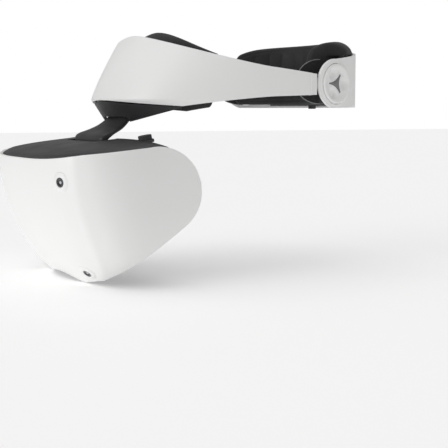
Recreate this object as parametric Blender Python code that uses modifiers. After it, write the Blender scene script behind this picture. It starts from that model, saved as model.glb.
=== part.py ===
"""A vr headset: a headband that grips the head, with a scope that hangs in front of the eyes.

Run it with: blender --background --python part.py
Lengths in this file are in millimetres and are scaled to metres as each mesh is made. The origin is
the middle of the head. +Z is up, the wearer looks along -Y, and the wearer's left hand is at +X.
"""

import math

import bmesh
import bpy
import numpy as np
from mathutils import Matrix, Vector

MM = 0.001
GAP = 0.4  # between pieces that touch

# Headband
BAND_HALF_WIDTH = 88
BAND_POWER = 2.45  # superellipse power of the band seen from above
BAND_FRONT = 118.5  # from the origin to the foremost point, at the band's lower edge
BAND_REAR = 117.5
BAND_LEAN = 31  # how far the front's upper edge lies behind its lower edge
BAND_LOW = -14  # height where the lean starts
BAND_HIGH = 42
BAND_TOP = 39.8  # upper edge at the front, before it falls towards the ears
BAND_WALL = 2.5
BAND_CORNER = 52  # degrees from the front, where the lower edge has its corner
BAND_TUCK = 0.7  # how far the front draws back for each mm below BAND_LOW
EDGE_FALL = 0.105  # of the lower edge for each degree, before the corner
EDGE_RISE = 0.218  # of the lower edge for each degree, after the corner
ARM_END = 42
ARM_TOP = 12.4
ARM_TOP_END = 7.7
ARM_LOW = -11
ARM_LOW_END = -9.5
LINER_INSET = 11
LINER_WALL = 2.2
BROW_LOW = -34
BROW_WALL = 2.2
PAD_SPAN = 66  # degrees each way from the front
PAD_BELOW = 4  # how far the forehead pad hangs below the white shell
PAD_INSET = 14.8
PAD_THICK = 11
PAD_PROUD = 3.4  # how far the forehead pad stands above the white shell

# Rear unit
HUB_Y = 64.5
HUB_RADIUS = 21
KNOB_RADIUS = 17
KNOB_TURN = 15  # degrees that the knob's axis is turned rearward from +X
REAR_LOW = -18
REAR_SPAN = 71  # degrees each way from the rear centre
REAR_TOP = 32.5
REAR_FALL = 0.19  # of the rear shell's upper edge for each degree
REAR_LINER_SPAN = 46
REAR_LINER_WALL = 8.6
REAR_PAD_INSET = 13.8
REAR_PAD_THICK = 9
REAR_PAD_TOP = 38.5
ROLL_INSET = 2  # how near to the shell's outer face the pad's rolled top comes
ROLL_DROP = 3.5  # from the pad's top down to the outer edge of the roll
ROLL_LIFT = 1.2  # of the roll above the shell's upper edge
ROLL_SPAN = (46, 60)  # degrees between which the roll fades out
KNOB_DEPTH = 5
BUTTON_RADIUS = 9.1
POCKET_RADIUS = 9.6
PINION_RADIUS = 5
GUIDE_X = 78.4
GUIDE_THICK = 1.6
GUIDE_HEIGHT = 11
SOCKET_X = 26
SOCKET_RADIUS = 3.5
SOCKET_TOP = 12

# Scope, in its own frame: origin at its middle, tilted forward by SCOPE_TILT
SCOPE_ORIGIN = (0, -112, -85)
SCOPE_TILT = 11
SCOPE_HALF_WIDTH = 106
SCOPE_POWER = 3.35
FACE_DEPTH = 76
FACE_RADIUS = 140  # radius of the front face seen from the side
FACE_MID = 11.4
WING_RADIUS = 35  # of the rounded end of each wing seen from the side
WING_START = -6
SCOPE_TOP = 39.5
SCOPE_ARCH = 61.3
LOWER_SLOPE = 0.534
LOWER_REACH = 73.5
SHELL_WALL = 2.5
PANEL_INSET = 3.3
PANEL_WALL = 2.2
TOP_BULGE = 5
LENS_Z = -2
LENS_X = 32  # half of the distance between the lenses
BARREL_RADIUS = 21.4
BARREL_WALL = 2.4
BARREL_FRONT = 4
BARREL_BACK = -31
LUG_OUT = 2.2  # from the barrel's outside to the lens rail's axis
LENS_RAIL_Y = -14
LENS_RAIL_RADIUS = 1.5
SLIDE_RAIL_X = 14
SLIDE_RAIL_Z = 31.5
SLIDE_RAIL_RADIUS = 2
SHIELD_HALF = (64, 26)
SHIELD_WALL = 2.6
FRAME_WALL = 2.2
FRAME_INSET = 3.8
DIAL_PLACE = (72, 10)
DIAL_RADIUS = 5.4
DIAL_SHAFT = 1.5
CAMERA_RADIUS = 5
CAMERAS = {  # name: (u round the scope, share down its side)
    "camera_upper_left": (0.406, 0.173),
    "camera_upper_right": (-0.406, 0.173),
    "camera_lower_left": (0.35, 0.903),
    "camera_lower_right": (-0.35, 0.903),
}
BUTTONS = {  # name: (x, y, radius)
    "power_button": (12, -48, 3.5),
    "function_button": (-12, -48, 3.0),
    "scope_release_button": (-58, -38, 5.0),
}
BUTTON_SUNK = 0.8  # below the scope's floor
BUTTON_LENGTH = 5
FAN_SIDE = 40
FAN_PLACE = (0, -54, 2)
FAN_BLADES = 7

# Looks: sRGB hex colour, roughness, metallic
WHITE = ("E9E9E8", 0.42, 0.0)
BLACK = ("2B2B2D", 0.5, 0.0)
SOFT = ("232325", 0.85, 0.0)
GREY = ("7A7A7C", 0.45, 0.0)
STEEL = ("B9BBBE", 0.3, 1.0)
ALUMINIUM = ("A9ABAD", 0.4, 1.0)
BOARD = ("1E4A34", 0.6, 0.0)
GLASS = ("0B0C10", 0.06, 0.0)


# ---------------------------------------------------------------- tools


def clear_scene():
    for obj in list(bpy.data.objects):
        bpy.data.objects.remove(obj, do_unlink=True)


def new_collection(name):
    collection = bpy.data.collections.new(name)
    bpy.context.scene.collection.children.link(collection)
    return collection


def linear(hex_colour):
    """The scene-linear colour of an sRGB hex colour."""
    values = [int(hex_colour[i : i + 2], 16) / 255 for i in (0, 2, 4)]
    return [v / 12.92 if v <= 0.04045 else ((v + 0.055) / 1.055) ** 2.4 for v in values]


def give_material(obj, look):
    colour, roughness, metallic = look
    material = bpy.data.materials.new(obj.name + "_finish")
    material.use_nodes = True
    shader = material.node_tree.nodes["Principled BSDF"]
    shader.inputs["Base Color"].default_value = (*linear(colour), 1)
    shader.inputs["Roughness"].default_value = roughness
    shader.inputs["Metallic"].default_value = metallic
    material.diffuse_color = (*linear(colour), 1)
    obj.data.materials.append(material)


def add_object(name, data, look, group, parent=None, place=(0, 0, 0), turn=None):
    """Links a new object, at a place and turn given in its parent's frame."""
    obj = bpy.data.objects.new(name, data)
    group.objects.link(obj)
    obj.parent = parent
    obj.location = Vector(place) * MM
    if turn:
        obj.rotation_euler = [math.radians(angle) for angle in turn]
    if look:
        give_material(obj, look)
    return obj


def mesh_from(work, name):
    """A mesh in metres from a bmesh in millimetres."""
    work.normal_update()
    bmesh.ops.scale(work, vec=(MM, MM, MM), verts=work.verts)
    mesh = bpy.data.meshes.new(name)
    work.to_mesh(mesh)
    work.free()
    return mesh


def box_mesh(name, size, centre=(0, 0, 0)):
    work = bmesh.new()
    bmesh.ops.create_cube(work, size=1, matrix=Matrix.Translation(centre) @ Matrix.Diagonal((*size, 1)))
    return mesh_from(work, name)


def rod_mesh(name, radius, length, axis="Z", centre=(0, 0, 0), sides=28):
    work = bmesh.new()
    turn = {"X": Matrix.Rotation(math.pi / 2, 4, "Y"), "Y": Matrix.Rotation(-math.pi / 2, 4, "X")}
    matrix = Matrix.Translation(centre) @ turn.get(axis, Matrix.Identity(4))
    bmesh.ops.create_cone(
        work, cap_ends=True, segments=sides, radius1=radius, radius2=radius, depth=length, matrix=matrix
    )
    return mesh_from(work, name)


def loft_mesh(name, points, around=False):
    """A mesh through a grid of points, rows by columns by xyz, with its faces turned outward later."""
    rows, columns = points.shape[:2]
    index = np.arange(rows * columns).reshape(rows, columns)
    if around:
        index = np.concatenate([index, index[:, :1]], axis=1)
    corners = [index[:-1, :-1], index[1:, :-1], index[1:, 1:], index[:-1, 1:]]
    faces = np.stack(corners, axis=-1).reshape(-1, 4)
    mesh = bpy.data.meshes.new(name)
    mesh.from_pydata((points.reshape(-1, 3) * MM).tolist(), [], faces.tolist())
    return mesh


def face_away(mesh, centre):
    """Turns an open surface so that its faces look away from centre, given in millimetres."""
    work = bmesh.new()
    work.from_mesh(mesh)
    middle = Vector(centre) * MM
    looks = sum(f.normal.dot(f.calc_center_median() - middle) * f.calc_area() for f in work.faces)
    if looks < 0:
        bmesh.ops.reverse_faces(work, faces=work.faces)
    work.to_mesh(mesh)
    work.free()


def thicken(obj, thickness):
    """A wall that grows from the surface against its normals."""
    solid = obj.modifiers.new("Wall", "SOLIDIFY")
    solid.thickness = thickness * MM
    solid.offset = -1
    solid.use_even_offset = True
    solid.use_quality_normals = True


def soften(obj, width, segments=2):
    bevel = obj.modifiers.new("Bevel", "BEVEL")
    bevel.width = width * MM
    bevel.segments = segments
    bevel.limit_method = "ANGLE"
    bevel.angle_limit = math.radians(40)


def cut(obj, mesh, cutters, parent=None, place=(0, 0, 0), turn=None, operation="DIFFERENCE"):
    """Cuts mesh out of obj, or joins it on, as a Boolean modifier with a hidden helper."""
    helper = add_object(obj.name + ".tool", mesh, None, cutters, parent, place, turn)
    helper.display_type = "WIRE"
    helper.hide_render = True
    boolean = obj.modifiers.new(operation.title(), "BOOLEAN")
    boolean.operation = operation
    boolean.solver = "EXACT"
    boolean.object = helper


def add_turned(name, profile, look, group, parent, place, turn=None, sides=32, closed=False):
    """A turned solid round its own Z: (radius, height) points that run down its outer side."""
    count = len(profile)
    edges = [(i, (i + 1) % count) for i in range(count if closed else count - 1)]
    mesh = bpy.data.meshes.new(name)
    mesh.from_pydata([(radius * MM, 0, height * MM) for radius, height in profile], edges, [])
    obj = add_object(name, mesh, look, group, parent, place, turn)
    screw = obj.modifiers.new("Turn", "SCREW")
    screw.steps = screw.render_steps = sides
    screw.use_merge_vertices = True
    screw.merge_threshold = 0.00001
    return obj


def add_flat(name, outline, thickness, look, group, parent=None, place=(0, 0, 0), turn=None):
    """A flat piece: an outline of (x, y) points in its own frame, with half its thickness each way."""
    curve = bpy.data.curves.new(name, "CURVE")
    curve.dimensions = "2D"
    curve.fill_mode = "BOTH"
    curve.extrude = thickness / 2 * MM
    spline = curve.splines.new("POLY")
    spline.points.add(len(outline) - 1)
    for point, (x, y) in zip(spline.points, outline):
        point.co = (x * MM, y * MM, 0, 1)
    spline.use_cyclic_u = True
    add_object(name, curve, look, group, parent, place, turn)


def prism_mesh(name, outline, thickness):
    """A cutter with the outline of (x, y) points, centred on its own middle plane."""
    work = bmesh.new()
    face = work.faces.new([work.verts.new((x, y, -thickness / 2)) for x, y in outline])
    grown = bmesh.ops.extrude_face_region(work, geom=[face])
    moved = [item for item in grown["geom"] if isinstance(item, bmesh.types.BMVert)]
    bmesh.ops.translate(work, vec=(0, 0, thickness), verts=moved)
    bmesh.ops.recalc_face_normals(work, faces=work.faces)
    return mesh_from(work, name)


def closed_loft_mesh(name, rings):
    """A closed solid through rings of points, with a flat face on the first and the last."""
    mesh = loft_mesh(name, rings, around=True)
    work = bmesh.new()
    work.from_mesh(mesh)
    bmesh.ops.holes_fill(work, edges=[edge for edge in work.edges if edge.is_boundary])
    bmesh.ops.recalc_face_normals(work, faces=work.faces)
    work.to_mesh(mesh)
    work.free()
    return mesh


# ---------------------------------------------------------------- shapes of the headband


def front_length(z):
    """How far forward the band reaches at height z: it leans back above and tucks in below."""
    lean = BAND_LEAN * (np.maximum(0, z - BAND_LOW) / (BAND_HIGH - BAND_LOW)) ** 1.2
    return BAND_FRONT - lean - BAND_TUCK * np.maximum(0, BAND_LOW - z)


def oval(angle, length, inset=0):
    """Plan of the band at an angle from its end: a superellipse, set in along its own normal."""
    sine, cosine = np.abs(np.sin(angle)), np.abs(np.cos(angle))
    x = BAND_HALF_WIDTH * sine ** (2 / BAND_POWER)
    y = length * cosine ** (2 / BAND_POWER)
    slope_x = (x / BAND_HALF_WIDTH) ** (BAND_POWER - 1) / BAND_HALF_WIDTH
    slope_y = (y / length) ** (BAND_POWER - 1) / length
    size = np.hypot(slope_x, slope_y)
    return np.sign(angle) * (x - inset * slope_x / size), y - inset * slope_y / size


def band_top(degrees):
    return BAND_TOP - (BAND_TOP - ARM_TOP) * (degrees / 90) ** 1.25


def band_bottom(degrees):
    falling = BAND_LOW - EDGE_FALL * degrees
    corner = BAND_LOW - EDGE_FALL * BAND_CORNER
    return np.where(degrees < BAND_CORNER, falling, corner + EDGE_RISE * (degrees - BAND_CORNER))


def brow_bottom(degrees):
    return BROW_LOW + (band_bottom(BAND_CORNER) - 1 - BROW_LOW) * (degrees / BAND_CORNER) ** 1.4


def band_wall(low, high, span, inset, rows, columns, arm=False):
    """Grid on the band's front surface, from height low to high, each a function of degrees."""
    angles = np.radians(np.linspace(-span, span, columns))
    degrees = np.abs(np.degrees(angles))
    share = np.linspace(1, 0, rows)[:, None]
    z = low(degrees) + (high(degrees) - low(degrees)) * share
    x, y = oval(angles[None, :] + 1e-9, front_length(z), inset)
    grid = np.stack([x, -y, z], axis=-1)
    if not arm:
        return grid
    ys = np.linspace(7, ARM_END, 7)
    along = ys / ARM_END
    top = ARM_TOP + (ARM_TOP_END - ARM_TOP) * along
    bottom = ARM_LOW + (ARM_LOW_END - ARM_LOW) * along
    angle = np.arccos(np.clip(ys / BAND_REAR, 0, 1) ** (BAND_POWER / 2))
    arm_x, arm_y = oval(angle, BAND_REAR, inset)
    arm_z = bottom + (top - bottom) * share
    left = np.stack([arm_x + 0 * arm_z, arm_y + 0 * arm_z, arm_z], axis=-1)
    right = left[:, ::-1] * (-1, 1, 1)
    return np.concatenate([right, grid, left], axis=1)


def rear_top(degrees):
    """Upper edge of the rear shell, which ends in the round hub on each side."""
    return REAR_TOP - REAR_FALL * degrees


def rear_wall(low, high, span, inset, rows, columns):
    angles = np.radians(np.linspace(-span, span, columns))
    x, y = oval(angles + 1e-9, BAND_REAR, inset)
    degrees = np.abs(np.degrees(angles))
    share = np.linspace(1, 0, rows)[:, None]
    z = low(degrees, y) + (high(degrees, y) - low(degrees, y)) * share
    return np.stack([x + 0 * z, y + 0 * z, z], axis=-1)


def hub_half_height(y):
    """Half height of the hub's round end, and a very large one behind the hub's middle."""
    reach = np.clip(HUB_Y - y, 0, HUB_RADIUS - 0.5)
    return np.where(y < HUB_Y, np.sqrt(HUB_RADIUS**2 - reach**2), 1e3)


# ---------------------------------------------------------------- shapes of the scope


def wing_width(z):
    """Half width of the scope at height z: widest at WING_START, narrower above and below."""
    down = (WING_START - z) / LOWER_REACH
    up = (z - WING_START) / 120
    share = np.clip(np.where(z < WING_START, down, up), 0, 0.999)
    return SCOPE_HALF_WIDTH * (1 - share**2.5) ** 0.4


def face_reach(z):
    """How far forward the front face reaches at height z: an arc seen from the side."""
    return np.sqrt(FACE_RADIUS**2 - (z - FACE_MID) ** 2) - FACE_RADIUS + FACE_DEPTH


def scope_plan(u, z, inset=0):
    """Plan of the scope: u runs 0 to 1 from the front centre to the side and 1 to 2 along the wing."""
    angle = np.clip(u, 0, 1) * math.pi / 2
    x = (wing_width(z) - inset) * np.sin(angle) ** (2 / SCOPE_POWER)
    y = -(face_reach(z) - inset) * np.cos(angle) ** (2 / SCOPE_POWER)
    wing = np.clip(u - 1, 0, 1) * math.pi / 2
    return x, np.where(u > 1, (WING_RADIUS - inset) * np.sin(wing), y)


def top_edge(x, y):
    front = WING_RADIUS + (SCOPE_TOP - WING_RADIUS) * np.clip(-y / 50, 0, 1)
    return np.where(y > 0, np.sqrt(np.clip(WING_RADIUS**2 - y**2, 0, None)), front)


def bottom_edge(x, y):
    tangent = WING_RADIUS * 0.494
    straight = -WING_RADIUS * 0.869 - LOWER_SLOPE * (tangent - y)
    low = np.maximum(straight, -SCOPE_ARCH - 8 * (x / 45) ** 2)
    return np.where(y > tangent, -np.sqrt(np.clip(WING_RADIUS**2 - y**2, 0, None)), low)


def scope_rim(u, edge, inset=0):
    """Points of the shell's upper or lower rim, settled by repeating: height from plan, plan from height."""
    z = np.zeros_like(u)
    for _ in range(30):
        x, y = scope_plan(u, z, inset)
        z = (z + edge(x, y)) / 2
    x, y = scope_plan(u, z, inset)
    return np.stack([x, y, z], axis=-1)


def both_sides(half):
    """Mirrors a run of points that starts on the middle plane."""
    return np.concatenate([half[:0:-1] * (-1, 1, 1), half])


def scope_grid(rows=11, inset=0):
    u = np.concatenate([np.linspace(0, 1, 21), 1 + np.linspace(0, 0.978, 10)[1:]])
    top, bottom = scope_rim(u, top_edge, inset), scope_rim(u, bottom_edge, inset)
    lines = []
    for share in np.linspace(0, 1, rows):
        z = top[:, 2] + (bottom[:, 2] - top[:, 2]) * share
        x, y = scope_plan(u, z, inset)
        lines.append(both_sides(np.stack([x, y, z], axis=-1)))
    return np.array(lines)


def spread(x, y, z_rim):
    """0 at the middle of the scope's plan and 1 at its rim."""
    across = np.abs(x) / wing_width(z_rim)
    ahead = np.clip(-y, 0, None) / face_reach(z_rim)
    return np.clip((across**SCOPE_POWER + ahead**SCOPE_POWER) ** (1 / SCOPE_POWER), 0, 1)


def top_height(x, y):
    rim = top_edge(x, y)
    return rim + TOP_BULGE * (1 - spread(x, y, rim) ** 4)


def bottom_height(x, y):
    """The floor of the scope, raised a little inside its rim."""
    rim = bottom_edge(x, y)
    return rim + 3 * (1 - spread(x, y, rim) ** 4)


def panel_grid(edge, height, reach, inset=PANEL_INSET, rings=(1, 0.86, 0.66, 0.42, 0.2), back_steps=16):
    """Rings of points from the panel's outline to a middle point, with heights from a function."""
    rim = both_sides(scope_rim(np.linspace(0, reach, 26), edge, inset))
    back_x = np.linspace(rim[-1, 0], rim[0, 0], back_steps + 1)[1:-1]
    end_y = rim[-1, 1]
    back = 2 + (end_y - 2) * (back_x / rim[-1, 0]) ** 2
    outline = np.concatenate([rim[:, :2], np.stack([back_x, back], axis=-1)])
    middle = np.array([0, -30])
    loops = [middle + (outline - middle) * ring for ring in rings]
    grid = [np.column_stack([loop, height(loop[:, 0], loop[:, 1])]) for loop in loops]
    grid[0][: len(rim), 2] = rim[:, 2]
    return np.array(grid)


def add_panel(name, grid, height, look, group, parent, wall_from):
    """A domed panel: rings of quads, closed in the middle by a fan."""
    mesh = loft_mesh(name, grid, around=True)
    work = bmesh.new()
    work.from_mesh(mesh)
    work.verts.ensure_lookup_table()
    rings, columns = grid.shape[:2]
    inner = [work.verts[(rings - 1) * columns + i] for i in range(columns)]
    middle = work.verts.new((0, -30 * MM, float(height(np.float64(0), np.float64(-30))) * MM))
    for first, second in zip(inner, inner[1:] + inner[:1]):
        work.faces.new((second, first, middle))
    bmesh.ops.recalc_face_normals(work, faces=work.faces)
    work.to_mesh(mesh)
    work.free()
    face_away(mesh, wall_from)
    obj = add_object(name, mesh, look, group, parent)
    thicken(obj, PANEL_WALL)
    return obj


# ---------------------------------------------------------------- headband pieces


def add_band_shell(group):
    grid = band_wall(band_bottom, band_top, 90, 0, 7, 55, arm=True)
    mesh = loft_mesh("band_shell", grid)
    face_away(mesh, (0, 0, 0))
    obj = add_object("band_shell", mesh, WHITE, group)
    thicken(obj, BAND_WALL)


def add_band_liner(group):
    def low(degrees):
        return band_bottom(degrees) + 2

    def high(degrees):
        return band_top(degrees) - 2

    mesh = loft_mesh("band_liner", band_wall(low, high, 90, LINER_INSET, 4, 45, arm=True))
    face_away(mesh, (0, 0, 0))
    thicken(add_object("band_liner", mesh, BLACK, group), LINER_WALL)


def add_brow_housing(group, cutters):
    """The dark skirt under the band's front, with a gap in its middle for the bridge arm."""

    def below(degrees):
        return band_bottom(degrees) - GAP

    def tucked_top(degrees):
        return below(degrees) + 4

    span = BAND_CORNER - 1
    skirt = band_wall(brow_bottom, below, span, 0.8, 4, 37)
    tucked = band_wall(below, tucked_top, span, BAND_WALL + 1.9, 2, 37)
    mesh = loft_mesh("brow_housing", np.concatenate([tucked, skirt[1:]]))
    face_away(mesh, (0, 0, 0))
    obj = add_object("brow_housing", mesh, BLACK, group)
    thicken(obj, BROW_WALL)
    cut(obj, box_mesh("brow_notch", (50, 40, 20), (0, -110, -38)), cutters)


def add_forehead_pad(group):
    def low(degrees):
        return band_bottom(degrees) - PAD_BELOW

    def high(degrees):
        return band_top(degrees) + PAD_PROUD - 4 * (degrees / PAD_SPAN) ** 4

    mesh = loft_mesh("forehead_pad", band_wall(low, high, PAD_SPAN, PAD_INSET, 5, 27))
    face_away(mesh, (0, 0, 0))
    thicken(add_object("forehead_pad", mesh, SOFT, group), PAD_THICK)


def world_of(point):
    """World place of a point given in the scope's frame."""
    tilt = math.radians(SCOPE_TILT)
    x, y, z = point
    turned = (x, y * math.cos(tilt) - z * math.sin(tilt), y * math.sin(tilt) + z * math.cos(tilt))
    return np.array(turned) + SCOPE_ORIGIN


def add_bridge_arm(group):
    """Loft from the tongue in the scope up to the brow: rounded boxes of changing width."""
    foot = world_of((0, -8, 36.4))
    stations = [  # place (y, z), half width, thickness, and the section's lean from upright
        (foot[1:], 30, 10, -6),
        ((-127, -45.4), 31, 9, 34),
        ((-118.7, -40.7), 29.5, 5, 63),
        ((-110, -36.3), 26.5, 4.8, 62),
        ((-102.5, -30), 23, 5, 55),
        ((-98.5, -24), 22, 5, 40),
    ]
    ring = np.radians(np.arange(0, 360, 15))
    across = np.sign(np.cos(ring)) * np.abs(np.cos(ring)) ** 0.35
    deep = np.sign(np.sin(ring)) * np.abs(np.sin(ring)) ** 0.5
    rings = []
    for (y, z), half, thick, lean in stations:
        turn = math.radians(lean)
        step_y, step_z = -math.cos(turn), math.sin(turn)
        offset = deep * thick / 2
        rings.append(np.stack([across * half, y + offset * step_y, z + offset * step_z], axis=-1))
    add_object("bridge_arm", closed_loft_mesh("bridge_arm", np.array(rings)), BLACK, group)


def add_arm_carriage(group, cutters, scope):
    """The tongue that runs on two rails in the scope and carries the bridge arm."""
    place = (0, -20, SLIDE_RAIL_Z)
    obj = add_object("arm_carriage", box_mesh("arm_carriage", (62, 32, 6)), BLACK, group, scope, place)
    for side in (1, -1):
        bore = rod_mesh("bore", SLIDE_RAIL_RADIUS + 0.3, 60, "Y")
        cut(obj, bore, cutters, scope, (side * SLIDE_RAIL_X, -20, SLIDE_RAIL_Z))
    soften(obj, 0.8, 1)


def add_vibration_motor(group):
    y = -(BAND_FRONT - BAND_WALL - 10.2)
    motor = rod_mesh("vibration_motor", 2.4, 12, "X")
    add_object("vibration_motor", motor, STEEL, group, None, (-2, y, 0))
    add_flat("vibration_weight", half_disc(2.2), 4, STEEL, group, None, (6.4, y, 0), (0, 90, 0))


def half_disc(radius):
    """A half disc whose straight side passes a little beyond its axis."""
    angles = np.radians(np.linspace(-10, 190, 17))
    return [(radius * math.cos(a), radius * math.sin(a)) for a in angles]


# ---------------------------------------------------------------- rear unit pieces


def knob_frame(side):
    """Place and turn of a knob: its own +Z points out of the band."""
    angle = math.acos((HUB_Y / BAND_REAR) ** (BAND_POWER / 2))
    x, y = oval(np.float64(angle), BAND_REAR)
    return (side * float(x), float(y), 0), (0, 90 * side, side * KNOB_TURN)


def knob_spot(side, out):
    """A point on a knob's axis, so far out of the band."""
    (x, y, z), _ = knob_frame(side)
    turn = math.radians(KNOB_TURN)
    return x + side * out * math.cos(turn), y + out * math.sin(turn), z


def add_rear_shell(group, cutters):
    def low(degrees, y):
        return np.maximum(REAR_LOW - 2, -hub_half_height(y))

    def high(degrees, y):
        return np.minimum(rear_top(degrees), hub_half_height(y))

    mesh = loft_mesh("rear_shell", rear_wall(low, high, REAR_SPAN + 2, 0, 7, 61))
    face_away(mesh, (0, 60, 0))
    obj = add_object("rear_shell", mesh, WHITE, group)
    thicken(obj, BAND_WALL)
    for side in (1, -1):
        place, turn = knob_frame(side)
        cut(obj, rod_mesh("hub_hole", KNOB_RADIUS + 0.5, 16), cutters, None, place, turn)


def add_rear_liner(group, cutters):
    def low(degrees, y):
        return REAR_LOW + 0 * degrees

    def high(degrees, y):
        return rear_top(degrees) - 4

    grid = rear_wall(low, high, REAR_LINER_SPAN, BAND_WALL + 0.7, 4, 31)
    mesh = loft_mesh("rear_liner", grid)
    face_away(mesh, (0, 60, 0))
    obj = add_object("rear_liner", mesh, BLACK, group)
    thicken(obj, REAR_LINER_WALL)
    for x in (SOCKET_X, -SOCKET_X):
        hole = rod_mesh("socket_hole", SOCKET_RADIUS + 0.3, 26)
        cut(obj, hole, cutters, None, (x, socket_y(x), REAR_LOW))


def socket_y(x):
    """The middle of the rear liner's wall at x."""
    angle = np.arcsin((abs(x) / BAND_HALF_WIDTH) ** (BAND_POWER / 2))
    return float(oval(angle, BAND_REAR, BAND_WALL + 5)[1])


def add_sockets(group):
    """The headphone socket on the left and the cable's inlet on the right, both under the rear."""
    sockets = (("audio_jack", SOCKET_X, 1.8, 0, STEEL), ("cable_inlet", -SOCKET_X, 2.3, 3, BLACK))
    for name, x, bore, drop, look in sockets:
        profile = [(0, SOCKET_TOP), (SOCKET_RADIUS, SOCKET_TOP), (SOCKET_RADIUS, -drop)]
        profile += [(bore, -drop), (bore, SOCKET_TOP - 3), (0, SOCKET_TOP - 3)]
        add_turned(name, profile, look, group, None, (x, socket_y(x), REAR_LOW), sides=24)


def add_rear_pad(group):
    """The rear pad: a wall whose top rolls outward over the shell, away from the hubs."""
    angles = np.radians(np.linspace(-REAR_SPAN, REAR_SPAN, 39))
    degrees = np.abs(np.degrees(angles))
    high = REAR_PAD_TOP - 1.5 * (degrees / 50) ** 2 - 9 * (degrees / REAR_SPAN) ** 8
    fade = np.clip((degrees - ROLL_SPAN[0]) / (ROLL_SPAN[1] - ROLL_SPAN[0]), 0, 1)
    roll = (REAR_PAD_INSET - ROLL_INSET) * (1 - fade * fade * (3 - 2 * fade))
    out = REAR_PAD_INSET - roll
    deep = REAR_PAD_INSET + REAR_PAD_THICK
    low, under = REAR_LOW + 1, rear_top(degrees) + ROLL_LIFT
    section = [  # inset and height, once round
        (deep, low),
        (deep, (low + high) / 2),
        (deep, high),
        (REAR_PAD_INSET, high),
        (out - 0.3, high - ROLL_DROP),
        (out - 0.3, under),
        (REAR_PAD_INSET, under - 0.3),
        (REAR_PAD_INSET, low),
    ]
    rings = []
    for inset, height in section:
        x, y = oval(angles + 1e-9, BAND_REAR, inset + 0 * angles)
        rings.append(np.stack([x, y, height + 0 * angles], axis=-1))
    mesh = closed_loft_mesh("rear_pad", np.array(rings).transpose(1, 0, 2))
    add_object("rear_pad", mesh, SOFT, group)


def add_guide(side, name, group):
    """A flat bar that slides inside the arm, cranked inward behind the knob."""
    outer, inner = GUIDE_X + GUIDE_THICK / 2, GUIDE_X - GUIDE_THICK / 2
    outline = [(outer, -8), (outer, 48), (70.7, 57.5), (70.7, 76)]
    outline += [(69.3, 76), (69.3, 56.5), (inner, 47), (inner, -8)]
    outline = [(side * x, y) for x, y in outline]
    add_flat(name, outline, GUIDE_HEIGHT, BLACK, group, None, (0, 0, -0.5))


def rounded_triangle(radius):
    """A soft three-cornered outline with slightly hollow sides."""
    angles = np.radians(np.arange(0, 360, 7.5))
    reach = radius * (0.68 + 0.24 * np.cos(3 * angles) + 0.08 * np.cos(6 * angles))
    return [(r * math.cos(a), r * math.sin(a)) for r, a in zip(reach, angles)]


def add_knob(side, label, group, cutters):
    place, turn = knob_frame(side)
    profile = [(0, 0.4), (9, 0.4), (15.5, 1.6), (KNOB_RADIUS, 0.8), (KNOB_RADIUS, -1.4)]
    profile += [(10.8, -1.4), (10.8, -KNOB_DEPTH), (0, -KNOB_DEPTH)]
    knob = add_turned("knob_" + label, profile, WHITE, group, None, place, turn, sides=40)
    pocket = prism_mesh("pocket", rounded_triangle(POCKET_RADIUS), 10)
    cut(knob, pocket, cutters, None, knob_spot(side, 1.2), turn)
    button = rounded_triangle(BUTTON_RADIUS)
    add_flat("knob_button_" + label, button, 2.8, GREY, group, None, knob_spot(side, -0.5), turn)
    pinion = rod_mesh("pinion", PINION_RADIUS, 1.3, centre=(0, 0, -KNOB_DEPTH - 0.95))
    add_object("knob_pinion_" + label, pinion, BLACK, group, None, place, turn)


# ---------------------------------------------------------------- scope pieces


def shell_spot(u, share):
    """A point of the scope's outer surface and its outward direction, by small steps."""

    def point(a, s):
        along = np.array([abs(a)])
        top, bottom = scope_rim(along, top_edge)[0], scope_rim(along, bottom_edge)[0]
        z = top[2] + (bottom[2] - top[2]) * s
        x, y = scope_plan(along, np.array([z]))
        return Vector((math.copysign(x[0], a), y[0], z))

    here = point(u, share)
    normal = (point(u + 0.01, share) - here).cross(point(u, share + 0.01) - here).normalized()
    return here, normal if normal.y < 0 else -normal


def add_scope_shell(group, cutters, scope):
    mesh = loft_mesh("scope_shell", scope_grid())
    face_away(mesh, (0, 0, 0))
    obj = add_object("scope_shell", mesh, WHITE, group, scope)
    thicken(obj, SHELL_WALL)
    for name, (u, share) in CAMERAS.items():
        here, normal = shell_spot(u, share)
        turn = [math.degrees(a) for a in normal.to_track_quat("Z", "Y").to_euler()]
        cut(obj, rod_mesh("camera_hole", CAMERA_RADIUS + GAP, 14), cutters, scope, here, turn)
        profile = [(0, -0.4), (3.2, -0.4), (4, 0.5), (CAMERA_RADIUS, 0.5), (CAMERA_RADIUS, -7), (0, -7)]
        add_turned(name, profile, GLASS, group, scope, here, turn, sides=28)


def add_scope_panels(group, cutters, scope):
    grid = panel_grid(top_edge, top_height, 1.33)
    top = add_panel("scope_top_panel", grid, top_height, BLACK, group, scope, (0, -30, -60))
    notch = box_mesh("arm_notch", (64, 60, 40), (0, 12, 40))
    cut(top, notch, cutters, scope)
    x, y = DIAL_PLACE
    cut(top, rod_mesh("dial_hole", 2, 20), cutters, scope, (x, y, 38))
    cut(top, rod_mesh("dial_seat", DIAL_RADIUS + 0.5, 10), cutters, scope, (x, y, dial_z() + 4.6))
    grid = panel_grid(bottom_edge, bottom_height, 1.3, PANEL_INSET + 0.8)
    bottom = add_panel(
        "scope_bottom_panel", grid, bottom_height, BLACK, group, scope, (0, -30, 60)
    )
    cut(bottom, rod_mesh("nose_notch", 24, 60, sides=40), cutters, scope, (0, 11, -35))
    for name, (x, y, radius) in BUTTONS.items():
        hole = rod_mesh(name + "_hole", radius + 0.5, 20)
        cut(bottom, hole, cutters, scope, (x, y, float(bottom_height(np.float64(x), y))))


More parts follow.
